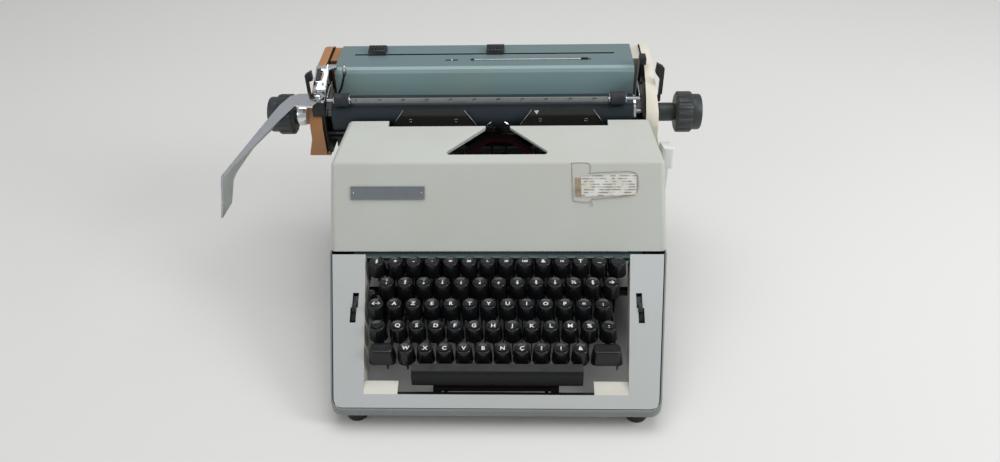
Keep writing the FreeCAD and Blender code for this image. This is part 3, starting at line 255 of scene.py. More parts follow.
# The left cover's darker tan is painted shade, with the table's warm colour as a painted
# reflection.
tan_cover_painted_shade = moulded("tan_cover_painted_shade", rgb(170, 120, 76), 0.36, bloom=0.12)
cover_cream = moulded("cover_cream", rgb(224, 219, 203), 0.38, bloom=0.10)
brake_beige = moulded("brake_beige", rgb(226, 228, 224), 0.45, bloom=0.10)
key_black = moulded("key_black", rgb(18, 19, 21), 0.16, 0.10, 0.42, 0.25)
bar_black = moulded("bar_black", rgb(17, 18, 19), 0.34, 0.15, 0.30, 0.3)
knob_black = moulded("knob_black", rgb(44, 50, 51), 0.42, bloom=0.5)
trim_black = moulded("trim_black", rgb(26, 27, 28), 0.36, gloss=0.4)
legend_white = moulded("legend_white", rgb(232, 233, 228), 0.45, bloom=0)
print("plastics", tan_cover_painted_shade.name, key_black.name, knob_black.name)

# %% [markdown]
# Bare metal comes in three kinds here: chrome on the return lever, its bracket and the small
# fittings, brushed steel on the typebars and the rail, and dark lacquered steel inside. A lower
# Metallic dulls the lacquered steel, the badge and, most of all, the scale. Brushing is a noise
# stretched along one axis, which the roughness and the bump share.

# %% Metals
def metal(name, colour, rough, grain=(1, 1, 1), dirt=0.25, metallic=1.0):
    bare = Finish(name, Metallic=metallic)
    lines = bare.noise(0.0008, 3, grain)
    stains = bare.noise(0.015, 4).above(0.48, 0.72)
    bare.feed("Base Color", bare.mix(stains * dirt, colour, shade(colour, 0.5)))
    bare.feed("Roughness", rough + stains * 0.2 + (lines - 0.5) * 0.12)
    bare.bump(lines, 0.12, 0.00002)
    return bare.material


chrome = metal("chrome", rgb(222, 225, 228), 0.12, dirt=0.35)
bright_steel = metal("bright_steel", rgb(190, 190, 188), 0.28, (0.1, 1, 1))
lever_steel = metal("lever_steel", rgb(30, 26, 23), 0.45, (1, 0.1, 1), 0.6, 0.4)
frame_steel = metal("frame_steel", rgb(46, 44, 40), 0.45, dirt=0.5, metallic=0.4)
scale_steel = metal("scale_steel", rgb(142, 146, 143), 0.42, (0.1, 1, 1), 0.2, 0.2)
badge_steel = metal("badge_steel", rgb(130, 135, 139), 0.34, (0.06, 1, 1), 0.3, 0.6)
print("metals", chrome.name, bright_steel.name, frame_steel.name)

# %% [markdown]
# The card holders are smoky plastic plates, nearly black, with a warm brown where light gets
# into them low down. The change follows the height on the plate, so it is a ramp on one object
# coordinate.

# %% Smoky plastic of the card holders
CARD_LOW, CARD_HIGH = 0.190, 0.212
smoke = Finish("smoky_plastic", Roughness=0.14, Specular_IOR_Level=0.5)
darker = smoke.along(2).above(CARD_LOW, CARD_HIGH) + (smoke.noise(0.01, 3) - 0.5) * 0.3
smoke.feed("Base Color", smoke.mix(darker, rgb(58, 54, 51), rgb(30, 31, 32)))
smoke.bump(smoke.noise(0.0011, 2), 0.1, 0.00002)
smoky_plastic = smoke.material
print("smoky plastic ready")

# %% [markdown]
# Rubber ages to a blue-black with a dry bloom. It has no gloss to speak of, and the bloom is
# drawn out along the platen's axis into fine streaks.

# %% Rubber
def rubber(name, colour, rough=0.55):
    aged = Finish(name, Specular_IOR_Level=0.35)
    bloom = aged.noise(0.02, 4, (0.3, 1, 1)).above(0.45, 0.75)
    aged.feed("Base Color", aged.mix(bloom * 0.5, colour, shade(colour, 1.5)))
    aged.feed("Roughness", rough + bloom * 0.15)
    aged.bump(aged.noise(0.0007, 3), 0.25, 0.00003)
    return aged.material


platen_rubber = rubber("platen_rubber", rgb(34, 44, 50), 0.42)
foot_rubber = rubber("foot_rubber", rgb(34, 34, 34))
roller_rubber = rubber("roller_rubber", rgb(40, 43, 48))
print("rubbers", platen_rubber.name, foot_rubber.name)

# %% [markdown]
# The ribbon is inked cotton, black above and red below, 13 mm wide. Its weave follows the strip
# and not the table, so it is made of two sine waves on the strip's own UV map, in millimetres:
# one across the threads and one along them.

# %% Inked cotton
def inked(name, ink):
    cloth = Finish(name, Roughness=0.85, Specular_IOR_Level=0.2)
    threads = cloth.node("ShaderNodeUVMap", {"uv_map": "strip"})
    weave = cloth.along(0, threads).wave(2.2) * cloth.along(1, threads).wave(2.2)
    worn = cloth.noise(0.01, 3).above(0.4, 0.7)
    cloth.feed("Base Color", cloth.mix(weave * 0.5 + worn * 0.2, ink, shade(ink, 1.7)))
    cloth.bump(weave, 0.4, 0.00004)
    return cloth.material


ribbon_black = inked("ribbon_black", rgb(27, 26, 30))
ribbon_red = inked("ribbon_red", rgb(74, 24, 32))
print("ribbon", ribbon_black.name, ribbon_red.name)

# %% [markdown]
# On the hood an old paper slip has been stuck down and its glue has browned. The slip is left
# without words: it carries only faint ruled lines, worn away in places, as a form would have.

# %% Paper slip and dried glue
slip = Finish("slip_paper", Roughness=0.7, Specular_IOR_Level=0.2)
rules = slip.along(2).wave(420).above(0.72, 0.8)
rubbed = slip.noise(0.006, 4).above(0.44, 0.58)
blotches = slip.noise(0.012, 3).above(0.4, 0.7)
stained = slip.mix(blotches * 0.6, rgb(216, 216, 210), rgb(190, 180, 162))
slip.feed("Base Color", slip.mix(rules * rubbed * 0.85, stained, rgb(90, 92, 94)))
slip_paper = slip.material
glue = Finish("dried_glue", Roughness=0.6, Specular_IOR_Level=0.3)
clots = glue.noise(0.004, 4).above(0.35, 0.7)
glue.feed("Base Color", glue.mix(clots, rgb(168, 150, 126), rgb(132, 118, 100)))
dried_glue = glue.material
print("slip and glue ready")

# %% [markdown]
# A typewriter stands on a table, so the stage is a plain pale floor. Three area lamps light it:
# a wide one overhead, one from the typist's right like a window, and a weak fill. They are
# large, so their reflections in chrome and black keys are broad and soft.

# %% Stage and lamps
FLOOR_HALF = 4
floor_paint = Finish("floor_white", Roughness=0.9)
mottle = floor_paint.noise(0.4, 2) * 0.1
floor_paint.feed("Base Color", floor_paint.mix(mottle, rgb(226, 225, 222), rgb(216, 214, 210)))
mesh = bpy.data.meshes.new("floor")
bm = bmesh.new()
bmesh.ops.create_grid(bm, x_segments=1, y_segments=1, size=FLOOR_HALF)
bm.to_mesh(mesh)
bm.free()
floor = bpy.data.objects.new("floor", mesh)
floor.data.materials.append(floor_paint.material)
bpy.context.scene.collection.objects.link(floor)
LIT_POINT = Vector((0, 0, 0.1))


def lamp(name, place, size, power):
    """A rectangular area lamp that is aimed at the machine."""
    light = bpy.data.objects.new(name, bpy.data.lights.new(name, "AREA"))
    light.data.shape = "RECTANGLE"
    light.data.size, light.data.size_y = size
    light.data.energy = power
    light.location = place
    light.rotation_euler = (LIT_POINT - Vector(place)).to_track_quat("-Z", "Y").to_euler()
    bpy.context.scene.collection.objects.link(light)


lamp("overhead", (0.1, 0.25, 1.9), (1.8, 1.2), 16)
lamp("window", (1.7, -0.5, 1.2), (0.5, 0.9), 16)
lamp("fill", (-1.6, -1.2, 1.1), (1.4, 1.0), 6)
world = bpy.data.worlds.new("studio")
world.use_nodes = True
sky = world.node_tree.nodes["Background"]
sky.inputs["Color"].default_value = (0.9, 0.92, 0.95, 1)
sky.inputs["Strength"].default_value = 0.45
bpy.context.scene.world = world
bpy.context.scene.view_settings.view_transform = "Standard"

# %% [markdown]
# Every piece ends the same way. Its mesh is scaled to metres, and its faces get smooth shading
# with crisp edges past 35 degrees, while large panels are left flat. It takes its finishes, rides
# on a body and stands for its CAD nodes. Keeping that in one function keeps the cells about
# shape.

# %% How a piece is finished
RECORD = frame["record"]
BODY_OF = {node: body for body, nodes in RECORD["behaviour"]["bodies"].items() for node in nodes}
CRISP_ANGLE = math.radians(35)
LARGE_FLAT = 0.0005  # square metres


def piece(name, bm, finishes, body, replaces=()):
    bm.transform(TO_TABLE)
    mesh = bpy.data.meshes.new(name)
    bm.to_mesh(mesh)
    bm.free()
    mesh.shade_smooth()
    mesh.set_sharp_from_angle(angle=CRISP_ANGLE)
    for polygon in mesh.polygons:
        if polygon.area > LARGE_FLAT:
            polygon.use_smooth = False
    for finish in finishes:
        mesh.materials.append(finish)
    thing = bpy.data.objects.new(name, mesh)
    bpy.context.scene.collection.objects.link(thing)
    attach(thing, body)
    if replaces:
        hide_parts(*replaces)
    return thing


print("nodes with a body", len(BODY_OF))

# %% [markdown]
# Most small parts are made of the same few things: blocks with eased edges, turned shapes, bent
# strips of sheet and wires. Each helper builds its shape in a bmesh of its own and then joins it
# to the piece, so that one piece can hold many of them in several finishes.

# %% Joining a part to its piece
WELD = 0.0004


def merge(bm, part):
    """Moves the part's mesh into the piece."""
    loose = bpy.data.meshes.new("loose")
    part.to_mesh(loose)
    part.free()
    bm.from_mesh(loose)
    bpy.data.meshes.remove(loose)


def join(bm, part, finish, place=None):
    """Adds the part to the piece, with its normals outwards and one finish."""
    if place is not None:
        part.transform(place)
    bmesh.ops.recalc_face_normals(part, faces=part.faces)
    for face in part.faces:
        face.material_index = finish
    merge(bm, part)


def bevel(bm, edges, offset, segments=2, clamp=False):
    """Rounds edges. All is spelt out, because the defaults differ from the editor's."""
    bmesh.ops.bevel(bm, geom=edges, offset=offset, offset_type="OFFSET", segments=segments,
                    profile=0.5, affect="EDGES", material=-1, clamp_overlap=clamp)


print("points nearer than", WELD, "mm are welded")

# %% Blocks and turned shapes
def block(bm, low, high, ease=0.3, finish=0, place=None):
    """A block between two corners, with eased edges."""
    part = bmesh.new()
    low, high = Vector(low), Vector(high)
    verts = bmesh.ops.create_cube(part, size=1)["verts"]
    bmesh.ops.scale(part, verts=verts, vec=high - low)
    bmesh.ops.translate(part, verts=verts, vec=(low + high) / 2)
    if ease:
        bevel(part, part.edges[:], ease)
    join(bm, part, finish, place)


def press_flutes(part, place, along, across, flutes, depth, beyond):
    """Moves every other stretch of the rim inwards, where its radius is beyond."""
    start = 0.02
    for vert in part.verts:
        out = vert.co - place
        out -= along * out.dot(along)
        if out.length > beyond and (across.angle(out) * flutes / math.tau + start) % 1 < 0.5:
            vert.co -= out.normalized() * depth


def turned(bm, outline, steps, place, axis=(0, 0, 1), finish=0, flutes=0, depth=0.0, beyond=0.0):
    """Spins (radius, height) points once round an axis through the place."""
    part = bmesh.new()
    along = Vector(axis).normalized()
    across = along.orthogonal().normalized()
    place = Vector(place)
    verts = [part.verts.new(place + across * radius + along * height) for radius, height in outline]
    edges = [part.edges.new(pair) for pair in zip(verts, verts[1:])]
    bmesh.ops.spin(part, geom=verts + edges, cent=place, axis=along, dvec=(0, 0, 0), angle=math.tau,
                   steps=steps, use_merge=True)
    bmesh.ops.remove_doubles(part, verts=part.verts, dist=WELD)
    if flutes:
        press_flutes(part, place, along, across, flutes, depth, beyond)
    join(bm, part, finish)


print("blocks and turned shapes ready")

# %% Strips
def strip(bm, path, across, thick, finish=0):
    """A sheet-metal strip: a path pulled sideways, then given its thickness."""
    part = bmesh.new()
    verts = [part.verts.new(point) for point in path]
    edges = [part.edges.new(pair) for pair in zip(verts, verts[1:])]
    pulled = bmesh.ops.extrude_edge_only(part, edges=edges)["geom"]
    moved = [item for item in pulled if isinstance(item, bmesh.types.BMVert)]
    bmesh.ops.translate(part, verts=moved, vec=across)
    bmesh.ops.recalc_face_normals(part, faces=part.faces)
    bmesh.ops.solidify(part, geom=part.faces[:], thickness=thick)
    join(bm, part, finish)


print("strips ready")

# %% Wires and screws
def shape_of(curve):
    """Turns a curve or a text into a bmesh, and removes the curve."""
    holder = bpy.data.objects.new(curve.name, curve)
    mesh = bpy.data.meshes.new_from_object(holder)
    part = bmesh.new()
    part.from_mesh(mesh)
    bpy.data.objects.remove(holder)
    bpy.data.curves.remove(curve)
    bpy.data.meshes.remove(mesh)
    return part


def wire(bm, points, radius, finish=0):
    """A round wire through points, its corners kept soft."""
    curve = bpy.data.curves.new("wire", "CURVE")
    curve.dimensions = "3D"
    curve.bevel_depth = radius
    curve.bevel_resolution = 2
    curve.use_fill_caps = True
    line = curve.splines.new("NURBS")
    line.points.add(len(points) - 1)
    for point, target in zip(line.points, points):
        point.co = (*target, 1)
    line.order_u = 3
    line.use_endpoint_u = True
    line.resolution_u = 6
    part = shape_of(curve)
    bmesh.ops.remove_doubles(part, verts=part.verts, dist=WELD)
    join(bm, part, finish)


def screw(bm, place, axis, radius, finish=0):
    """A domed screw head. Its slot is a thin block in the second finish."""
    place, axis = Vector(place), Vector(axis).normalized()
    dome = [(0, -0.2), (radius, -0.2), (radius, 0.4), (radius * 0.8, 0.9), (radius * 0.4, 1.15),
            (0, 1.2)]
    turned(bm, dome, 20, place, axis, finish)
    seat = Matrix.Translation(place) @ axis.to_track_quat("Z", "Y").to_matrix().to_4x4()
    block(bm, (-radius * 0.82, -0.35, 0.5), (radius * 0.82, 0.35, 1.24), 0, 1, seat)


print("wires and screws ready")

# %% [markdown]
# Sheet metal and mouldings have no knife edges. A copy of the CAD mesh is merged, its flat
# triangles are dissolved into whole faces, and the edges that turn sharply get a small bevel,
# which is what catches the light along the casing. The CAD node itself is never touched. Where
# one node shows several finishes, a small test on each face's middle and normal picks one.

# %% Easing the edges of a CAD node
CAD_WELD, SAME_PLANE = 0.004, math.radians(0.6)


def copy_of(node):
    """The CAD shape in machine millimetres, its loose triangles merged."""
    bm = bmesh.new()
    bm.from_mesh(frame["nodes"][node].data)
    bm.transform(TO_MACHINE)
    bmesh.ops.remove_doubles(bm, verts=bm.verts, dist=CAD_WELD)
    return bm


def make_faces_whole(bm):
    bmesh.ops.dissolve_limit(bm, angle_limit=SAME_PLANE, verts=bm.verts, edges=bm.edges)


def eased(node, finishes, ease, segments=2, angle=28, before=None, tint=None, extra=None):
    """Stands for a node. Before reshapes the copy, tint picks finishes, and extra adds parts."""
    bm = copy_of(node)
    make_faces_whole(bm)
    if before:
        before(bm)
    if ease:
        sharp = [edge for edge in bm.edges
                 if edge.is_manifold and edge.calc_face_angle(0) > math.radians(angle)]
        bevel(bm, sharp, ease, segments, clamp=True)
    if tint:
        for face in bm.faces:
            face.material_index = tint(face.calc_center_median(), face.normal)
    if extra:
        extra(bm)
    if not isinstance(finishes, list):
        finishes = [finishes]
    piece(node + "_eased", bm, finishes, BODY_OF[node], [node])


print("edges that turn more than 28 degrees are eased")

# %% [markdown]
# The hood is one pressing over the works. Its outline from the side has three corners: the foot
# behind the keys, the ridge, and the back of the lid by the carriage. Along the ridge its sides
# stand out a little, so the copy is first cut across in four places, which gives points to move.
# Inside, the casing is lined with dark felt, whose colour also paints in the shade there: a face
# is inside when it looks towards the middle of the machine.

# %% The hood and the shells behind and below it
FOOT_Y, FOOT_Z = 140, 108
RIDGE_Y, RIDGE_Z = 190, 186
BACK_Y, BACK_Z = 249, 201
SIDE_END_Y, SHOULDER_Z = 222, 182
RIDGE_SPREAD = 8.8
WORKS_MIDDLE = Vector((0, 190, 60))


def share_of(value, whole):
    return min(1, max(0, value / whole))


def widen(bm):
    """The hood's sides stand out along its ridge, and lean in towards the carriage."""
    cuts = [((0, y, 0), (0, 1, 0)) for y in (206, SIDE_END_Y)]
    cuts += [((0, 0, z), (0, 0, 1)) for z in (150, SHOULDER_Z)]
    for place, across in cuts:
        bmesh.ops.bisect_plane(bm, geom=[*bm.verts, *bm.edges, *bm.faces], plane_co=place,
                               plane_no=across, dist=0.001)
    for vert in bm.verts:
        end = BACK_Y if vert.co.z > SHOULDER_Z - 1 else SIDE_END_Y
        share = (share_of(end - vert.co.y, end - RIDGE_Y)
                 * share_of(vert.co.z - FOOT_Z, RIDGE_Z - FOOT_Z))
        if abs(vert.co.x) > 140:
            vert.co.x += math.copysign(RIDGE_SPREAD * share, vert.co.x)


def is_inside(middle, normal):
    """A face that looks towards the middle of the machine, well inside the casing."""
    inwards = normal.dot(WORKS_MIDDLE - middle) > 0
    lined = (abs(middle.x) > 142 or abs(normal.x) < 0.4) and 8 < middle.y < 340
    return 1 if inwards and lined else 0


# The felt on the inward faces also paints the shade inside the hood, rear cover and lower shell.
eased("hood", [shell_grey, felt_and_painted_shade], 0.7, before=widen, tint=is_inside)
eased("rear_cover", [shell_grey, felt_and_painted_shade], 0.8, tint=is_inside)
eased("lower_shell", [rim_grey, felt_and_painted_shade], 0.8, tint=is_inside)
print("hood wider by", RIDGE_SPREAD, "mm a side along its ridge")

# %% [markdown]
# The plate round the keys is one grey panel with a cream tab in each front corner and a slot at
# each side, whose walls are painted black as painted shade. The end covers, the brake housing and
# the feet are mouldings, so their edges are rounder than those of the sheet metal.

# %% Keyboard plate, end covers, brake housing and feet
CONTROL_SLOT = ((139, 149), (70, 110))
CREAM_TAB = ((95.6, 128.2), (16.3, 29))


def is_over(area, middle):
    (low_x, high_x), (low_y, high_y) = area
    return low_x < abs(middle.x) < high_x and low_y < middle.y < high_y


def plate_zone(middle, normal):
    """The slots' walls are painted black as painted shade, and the tabs are cream."""
    if is_over(CONTROL_SLOT, middle) and abs(normal.z) < 0.6:
        return 2
    return 1 if is_over(CREAM_TAB, middle) and normal.z > 0.2 else 0


def soften_box(bm):
    """The box beside the hood has a sloping lid and well rounded front edges."""
    for vert in bm.verts:
        if vert.co.z > 179 and vert.co.y > 240:
            vert.co.z -= 8
        elif 149 < vert.co.z < 151 and vert.co.y < 240:
            vert.co.z += 3
    front = [edge for edge in bm.edges if all(vert.co.y < 230 for vert in edge.verts)
             or all(vert.co.z > 170 and vert.co.x > 180 for vert in edge.verts)]
    bevel(bm, front, 3, segments=4, clamp=True)


eased("keyboard_surround", [surround_grey, tab_cream, trim_black], 0.6, tint=plate_zone)
eased("brake_housing", brake_beige, 0.5, before=soften_box)
eased("key_well_panel", table_green, 0.3)
# The end covers' inner faces take the felt too, which paints the shade inside them.
for node, side, finish in (("end_cover_left", -1, tan_cover_painted_shade), ("end_cover_right", 1, cover_cream)):
    eased(node, [finish, felt_and_painted_shade], 1.6, segments=3,
          tint=lambda middle, normal, side=side: 1 if side * normal.x < -0.7 else 0)
eased("rubber_feet", foot_rubber, 1.0)
print("casing eased")

# %% [markdown]
# The lid of the hood has a typing opening, a triangle without its tip. Its sheet is turned down
# along both slanting sides. The lips are a paler beige than the hood, and the left one is deeper
# than the right: a painted highlight for the lit left edge of the opening.

# %% Lips of the typing opening
OPENING_SIDE = ((57.0, 201.0), (13.0, 239.0))


def lid_height(y):
    return RIDGE_Z + (y - RIDGE_Y) * (BACK_Z - RIDGE_Z) / (BACK_Y - RIDGE_Y)


bm = bmesh.new()
# The deeper left lip and the pale beige are a painted highlight on the lit edge.
for side, depth in ((-1, 3.0), (1, 1.0)):
    lip = [(side * (half + 0.5), y, lid_height(y) - 0.8) for half, y in OPENING_SIDE]
    strip(bm, lip, (0, 0, -depth), -side * 1.0)
piece("mouth_lips", bm, [brake_beige], "hood")
print("lid from", RIDGE_Z, "to", BACK_Z, "mm")

# %% [markdown]
# The works are cut, turned or pressed steel. They keep their CAD shape. Thin sheet, ground bars
# and rollers get no bevel at all: it would not show, and 43 typebars would pay for it in
# triangles.

# %% The frame and the works
WORKS = {
    "main_frame": (frame_steel, 0.3), "front_bracket": (frame_steel, 0.3),
    "key_stop_bar": (frame_steel, 0.3), "carriage_frame": (frame_steel, 0.3),
    "type_guide": (frame_steel, 0.3), "typebar_segment": (frame_steel, 0.1),
    "carriage_rail": (bright_steel, 0.5), "typebars": (bright_steel, 0),
    "typebar_middle": (bright_steel, 0.2), "ribbon_vibrator": (frame_steel, 0.1),
    "paper_pan": (frame_steel, 0), "feed_roller_front": (roller_rubber, 0),
    "feed_roller_rear": (roller_rubber, 0), "key_pivot_rod": (bright_steel, 0),
}
for node, (finish, ease) in WORKS.items():
    eased(node, finish, ease)
print("works", len(WORKS), "nodes")

# %% [markdown]
# The levers that release the carriage and the paper, and the two slides beside the keys, are
# small black mouldings. The right carriage release ends in a paddle for the thumb.

# %% Releases and slides
def add_paddle(bm):
    block(bm, (172.7, 279.2, 214), (176.6, 284.8, 245), 1.0)


eased("carriage_release_left", trim_black, 0.6)
eased("carriage_release_right", trim_black, 0.6, extra=add_paddle)
eased("paper_release_lever", trim_black, 0.6)
for node in ("control_slide_left", "control_slide_right"):
    eased(node, trim_black, 0.4)

# %% [markdown]
# The plate round the keys is folded down along both sides of its opening, which stiffens it.
# Seen from the chair, the left fold shows its lit inner face between the key skirts. The folds take
# the pale cream of the tabs, not the plate's grey, as a painted highlight for that lit face. Each
# fold is a flat bar, sheared so that it follows the opening, which widens towards the back.

# %% Folds beside the keys
PLATE_Y, PLATE_Z = 2, 24
SLOPE = math.atan2(107.5 - PLATE_Z, FOOT_Y - PLATE_Y)
PLATE = Matrix.Translation((0, PLATE_Y, PLATE_Z)) @ Matrix.Rotation(SLOPE, 4, "X")
OPENING_HALF, WIDER, OVER = 128.5, 8, 123
FOLD_DEPTH = 24
bm = bmesh.new()
for side in (-1, 1):
    shear = Matrix.Identity(4)
    shear[0][1] = side * WIDER / OVER * math.cos(SLOPE)
    edge = OPENING_HALF - 14 * WIDER / OVER
    low, high = sorted((side * (edge + 0.1), side * (edge + 1.3)))
    block(bm, (low, 31, -FOLD_DEPTH), (high, 158, -2.4), place=PLATE @ shear)
# The pale cream on the folds is a painted highlight for the lit inner wall.
piece("surround_folds", bm, [tab_cream], "machine")
print("folds along a slope of", round(math.degrees(SLOPE), 2), "degrees")

# %% [markdown]
# A key is a hollow moulding on a steel lever: a tall tapered skirt and a shallow dish for the
# fingertip, with the letter in it. The cap is turned like a pot, by spinning its outline once
# round. The stem and the long flat lever keep the CAD shape: a copy of the node is cut level
# with the underside of the cap, its open ends are filled, and they reach a little into the cap.

# %% Caps, and the levers under them
CAP_HEIGHT, CAP_FOOT, CAP_TOP, DISH = 16.5, 9.25, 7.6, 0.9
INTO_CAP = 0.9


def cap(bm, x, y, top, foot=CAP_FOOT, crown=CAP_TOP):
    skirt = [(0, 0.6), (foot - 0.9, 0.6), (foot - 0.35, 0), (foot, 0.35), (foot - 0.1, 2.5),
             (crown + 0.55, CAP_HEIGHT - 4.0), (crown + 0.2, CAP_HEIGHT - 1.4)]
    rim = [(crown, CAP_HEIGHT - 0.6), (crown - 0.3, CAP_HEIGHT - 0.15), (crown - 0.75, CAP_HEIGHT),
           (crown - 1.2, CAP_HEIGHT - 0.15), (crown - 1.7, CAP_HEIGHT - 0.5)]
    dish = [(crown * 0.45, CAP_HEIGHT - DISH * 0.95), (0, CAP_HEIGHT - DISH)]
    turned(bm, skirt + rim + dish, 32, (x, y, top - CAP_HEIGHT))


def under(top, low=-999, high=999):
    """A cut just below the foot of a cap, and the X range that it holds for."""
    return top - CAP_HEIGHT - 0.05, low, high


def levers(node, cuts):
    """The CAD shape below its caps, in the second finish of a key."""
    bm = copy_of(node)
    for height, low, high in cuts:
        faces = [face for face in bm.faces if low < face.calc_center_median().x < high]
        parts = dict.fromkeys(part for face in faces for part in (*face.verts, *face.edges))
        cut = bmesh.ops.bisect_plane(bm, geom=[*faces, *parts], plane_co=(0, 0, height),
                                     plane_no=(0, 0, 1), dist=0.0001, clear_outer=True)["geom_cut"]
        ends = [part for part in cut if isinstance(part, bmesh.types.BMVert)]
        rims = [part for part in cut if isinstance(part, bmesh.types.BMEdge)]
        bmesh.ops.holes_fill(bm, edges=rims, sides=0)
        bmesh.ops.translate(bm, verts=ends, vec=(0, 0, INTO_CAP))
    make_faces_whole(bm)
    for face in bm.faces:
        face.material_index = 1
    return bm


print("cap", CAP_HEIGHT, "mm tall")

# %% [markdown]
# The legends are moulded in white. A text object makes the outline, the mesh takes its place on
# the cap, and each corner is then lowered on to the dish, so that the letter follows the hollow.

# %% Legends in the dishes
PRINTED = 2


def outline_of(text, size, weight):
    """A flat mesh of a text, in millimetres, centred on the origin."""
    curve = bpy.data.curves.new("legend", "FONT")
    curve.body = text
    curve.size = size
    curve.align_x, curve.align_y = "CENTER", "CENTER"
    curve.space_line = 0.8
    curve.offset = weight
    curve.resolution_u = 3
    return shape_of(curve)


def print_on(bm, flat, outwards):
    """Adds a flat text to the piece in its third finish, with its face outwards."""
    for face in flat.faces:
        face.material_index = PRINTED
        if face.normal.dot(Vector(outwards)) < 0:
            face.normal_flip()
    merge(bm, flat)


def legend(bm, text, x, y, top, size=6.8):
    flat = outline_of(text, size, 0.16)
    long_edges = [edge for edge in flat.edges if edge.calc_length() > 1.2]
    bmesh.ops.subdivide_edges(flat, edges=long_edges, cuts=1)
    for vert in flat.verts:
        reach = min(1, vert.co.xy.length / (CAP_TOP - 0.9))
        vert.co += Vector((x, y, top - DISH * (1 - reach ** 2) + 0.09))
    print_on(bm, flat, (0, 0, 1))


print("legends lie in a dish", DISH, "mm deep")

# %% [markdown]
# Key rows step back and up like a staircase, and each is shifted sideways against the next one,
# so that the levers pass between each other. The home row is made one key at a time, because
# each of its keys moves on its own.

# %% The home row
KEY_PITCH, ROW_DEPTH, ROW_RISE = 19.05, 20.5, 10.6
LOW_ROW_Y, LOW_ROW_Z = 50.0, 62.0
KEY_FINISHES = [key_black, lever_steel, legend_white]


def row_place(row):
    """How far back and how high a row of caps stands, counted from the lowest."""
    return LOW_ROW_Y + row * ROW_DEPTH, LOW_ROW_Z + row * ROW_RISE


home_y, home_top = row_place(1)
HOME = {"q": "Q", "s": "S", "d": "D", "f": "F", "g": "G", "h": "H", "j": "J", "k": "K", "l": "L",
        "m": "M", "percent": "%", "colon": ":"}
for number, (letter, text) in enumerate(HOME.items()):
    x = (-5.1496 + number) * KEY_PITCH
    bm = levers(f"key_{letter}", [under(home_top)])
    cap(bm, x, home_y, home_top)
    legend(bm, text, x, home_y, home_top)
    piece(f"cap_{letter}", bm, KEY_FINISHES, f"key_{letter}", [f"key_{letter}"])
print("home row", len(HOME), "keys at", round(home_top, 1), "mm")

# %% [markdown]
# The other four rows stand still, so each is one piece. Two of them carry an extra key at the
# left: the margin key beside the upper row, and the small ribbon key beside the numbers, which
# is lower and so gets a cut of its own.

# %% The four standing rows
ROWS = [
    ("keys_row_low", 0, -4.6509, ["W", "X", "C", "V", "B", "N", "Ç", "?", "!", "&"]),
    ("keys_row_upper", 2, -5.4068,
     ["A", "Z", "E", "R", "T", "Y", "U", "I", "O", "P", "=", ";"]),
    ("keys_row_number", 3, -5.9003,
     ["\"\n1", "é\n2", "'\n3", "(\n4", "-\n5", "è\n6", "_\n7", "ç\n8", "à\n9", ")\n0", "½", "§",
      "→"]),
    ("keys_row_tabulator", 4, -6.5144,
     ["§", "+", "-", "·", "=", "00", "1.", "10", "100", "&", "12", "T", "_", ""]),
]
MARGIN_KEY_X, RIBBON_KEY_X, RIBBON_KEY_EDGE = -6.378 * KEY_PITCH, -6.693 * KEY_PITCH, -118
ribbon_key_y, ribbon_key_top = row_place(2.7)
ribbon_key_top -= 5
for node, row, first, texts in ROWS:
    y, top = row_place(row)
    cuts = [under(top)]
    if node == "keys_row_number":
        cuts = [under(top, low=RIBBON_KEY_EDGE), under(ribbon_key_top, high=RIBBON_KEY_EDGE)]
    bm = levers(node, cuts)
    for number, text in enumerate(texts):
        x = (first + number) * KEY_PITCH
        cap(bm, x, y, top)
        legend(bm, text, x, y, top, 6.6 if len(text) == 1 else 4.2)
    if node == "keys_row_upper":
        cap(bm, MARGIN_KEY_X, y, top)
        legend(bm, "↔", MARGIN_KEY_X, y, top)
    if node == "keys_row_number":
        cap(bm, RIBBON_KEY_X, ribbon_key_y, ribbon_key_top, CAP_FOOT - 4, CAP_TOP - 4)
    piece(node + "_caps", bm, KEY_FINISHES, "machine", [node])
print("rows", [row[0] for row in ROWS])

# %% [markdown]
# The shift keys are wide, with rounded corners and a long shallow dish. Such a cap starts as a
# block that narrows towards the top; its upright edges get a large round, its top edge a small
# one, and the top is inset and pressed down. The shift lock beside the home row is a plain cap.

# %% Shift caps, shift lock and space bar
def wide_cap(bm, low, high, y, top):
    part = bmesh.new()
    width = high - low
    verts = bmesh.ops.create_cube(part, size=1)["verts"]
    crown = [vert for vert in verts if vert.co.z > 0]
    bmesh.ops.scale(part, verts=verts, vec=(width, 16.8, CAP_HEIGHT))
    bmesh.ops.scale(part, verts=crown, vec=((width - 5) / width, 0.8, 1))
    bmesh.ops.translate(part, verts=verts, vec=((low + high) / 2, y, top - CAP_HEIGHT / 2))
    upright = [edge for edge in part.edges
               if abs(edge.verts[0].co.z - edge.verts[1].co.z) > 1]
    bevel(part, upright, 5, segments=6)
    rim = [edge for edge in part.edges if min(vert.co.z for vert in edge.verts) > top - 0.01
           and any(face.normal.z < 0.9 for face in edge.link_faces)]
    bevel(part, rim, 1.6, segments=5)
    lid = max(part.faces, key=lambda face: face.calc_center_median().z)
    bmesh.ops.inset_region(part, faces=[lid], thickness=3.0, depth=-0.35, use_even_offset=True)
    join(bm, part, 0)


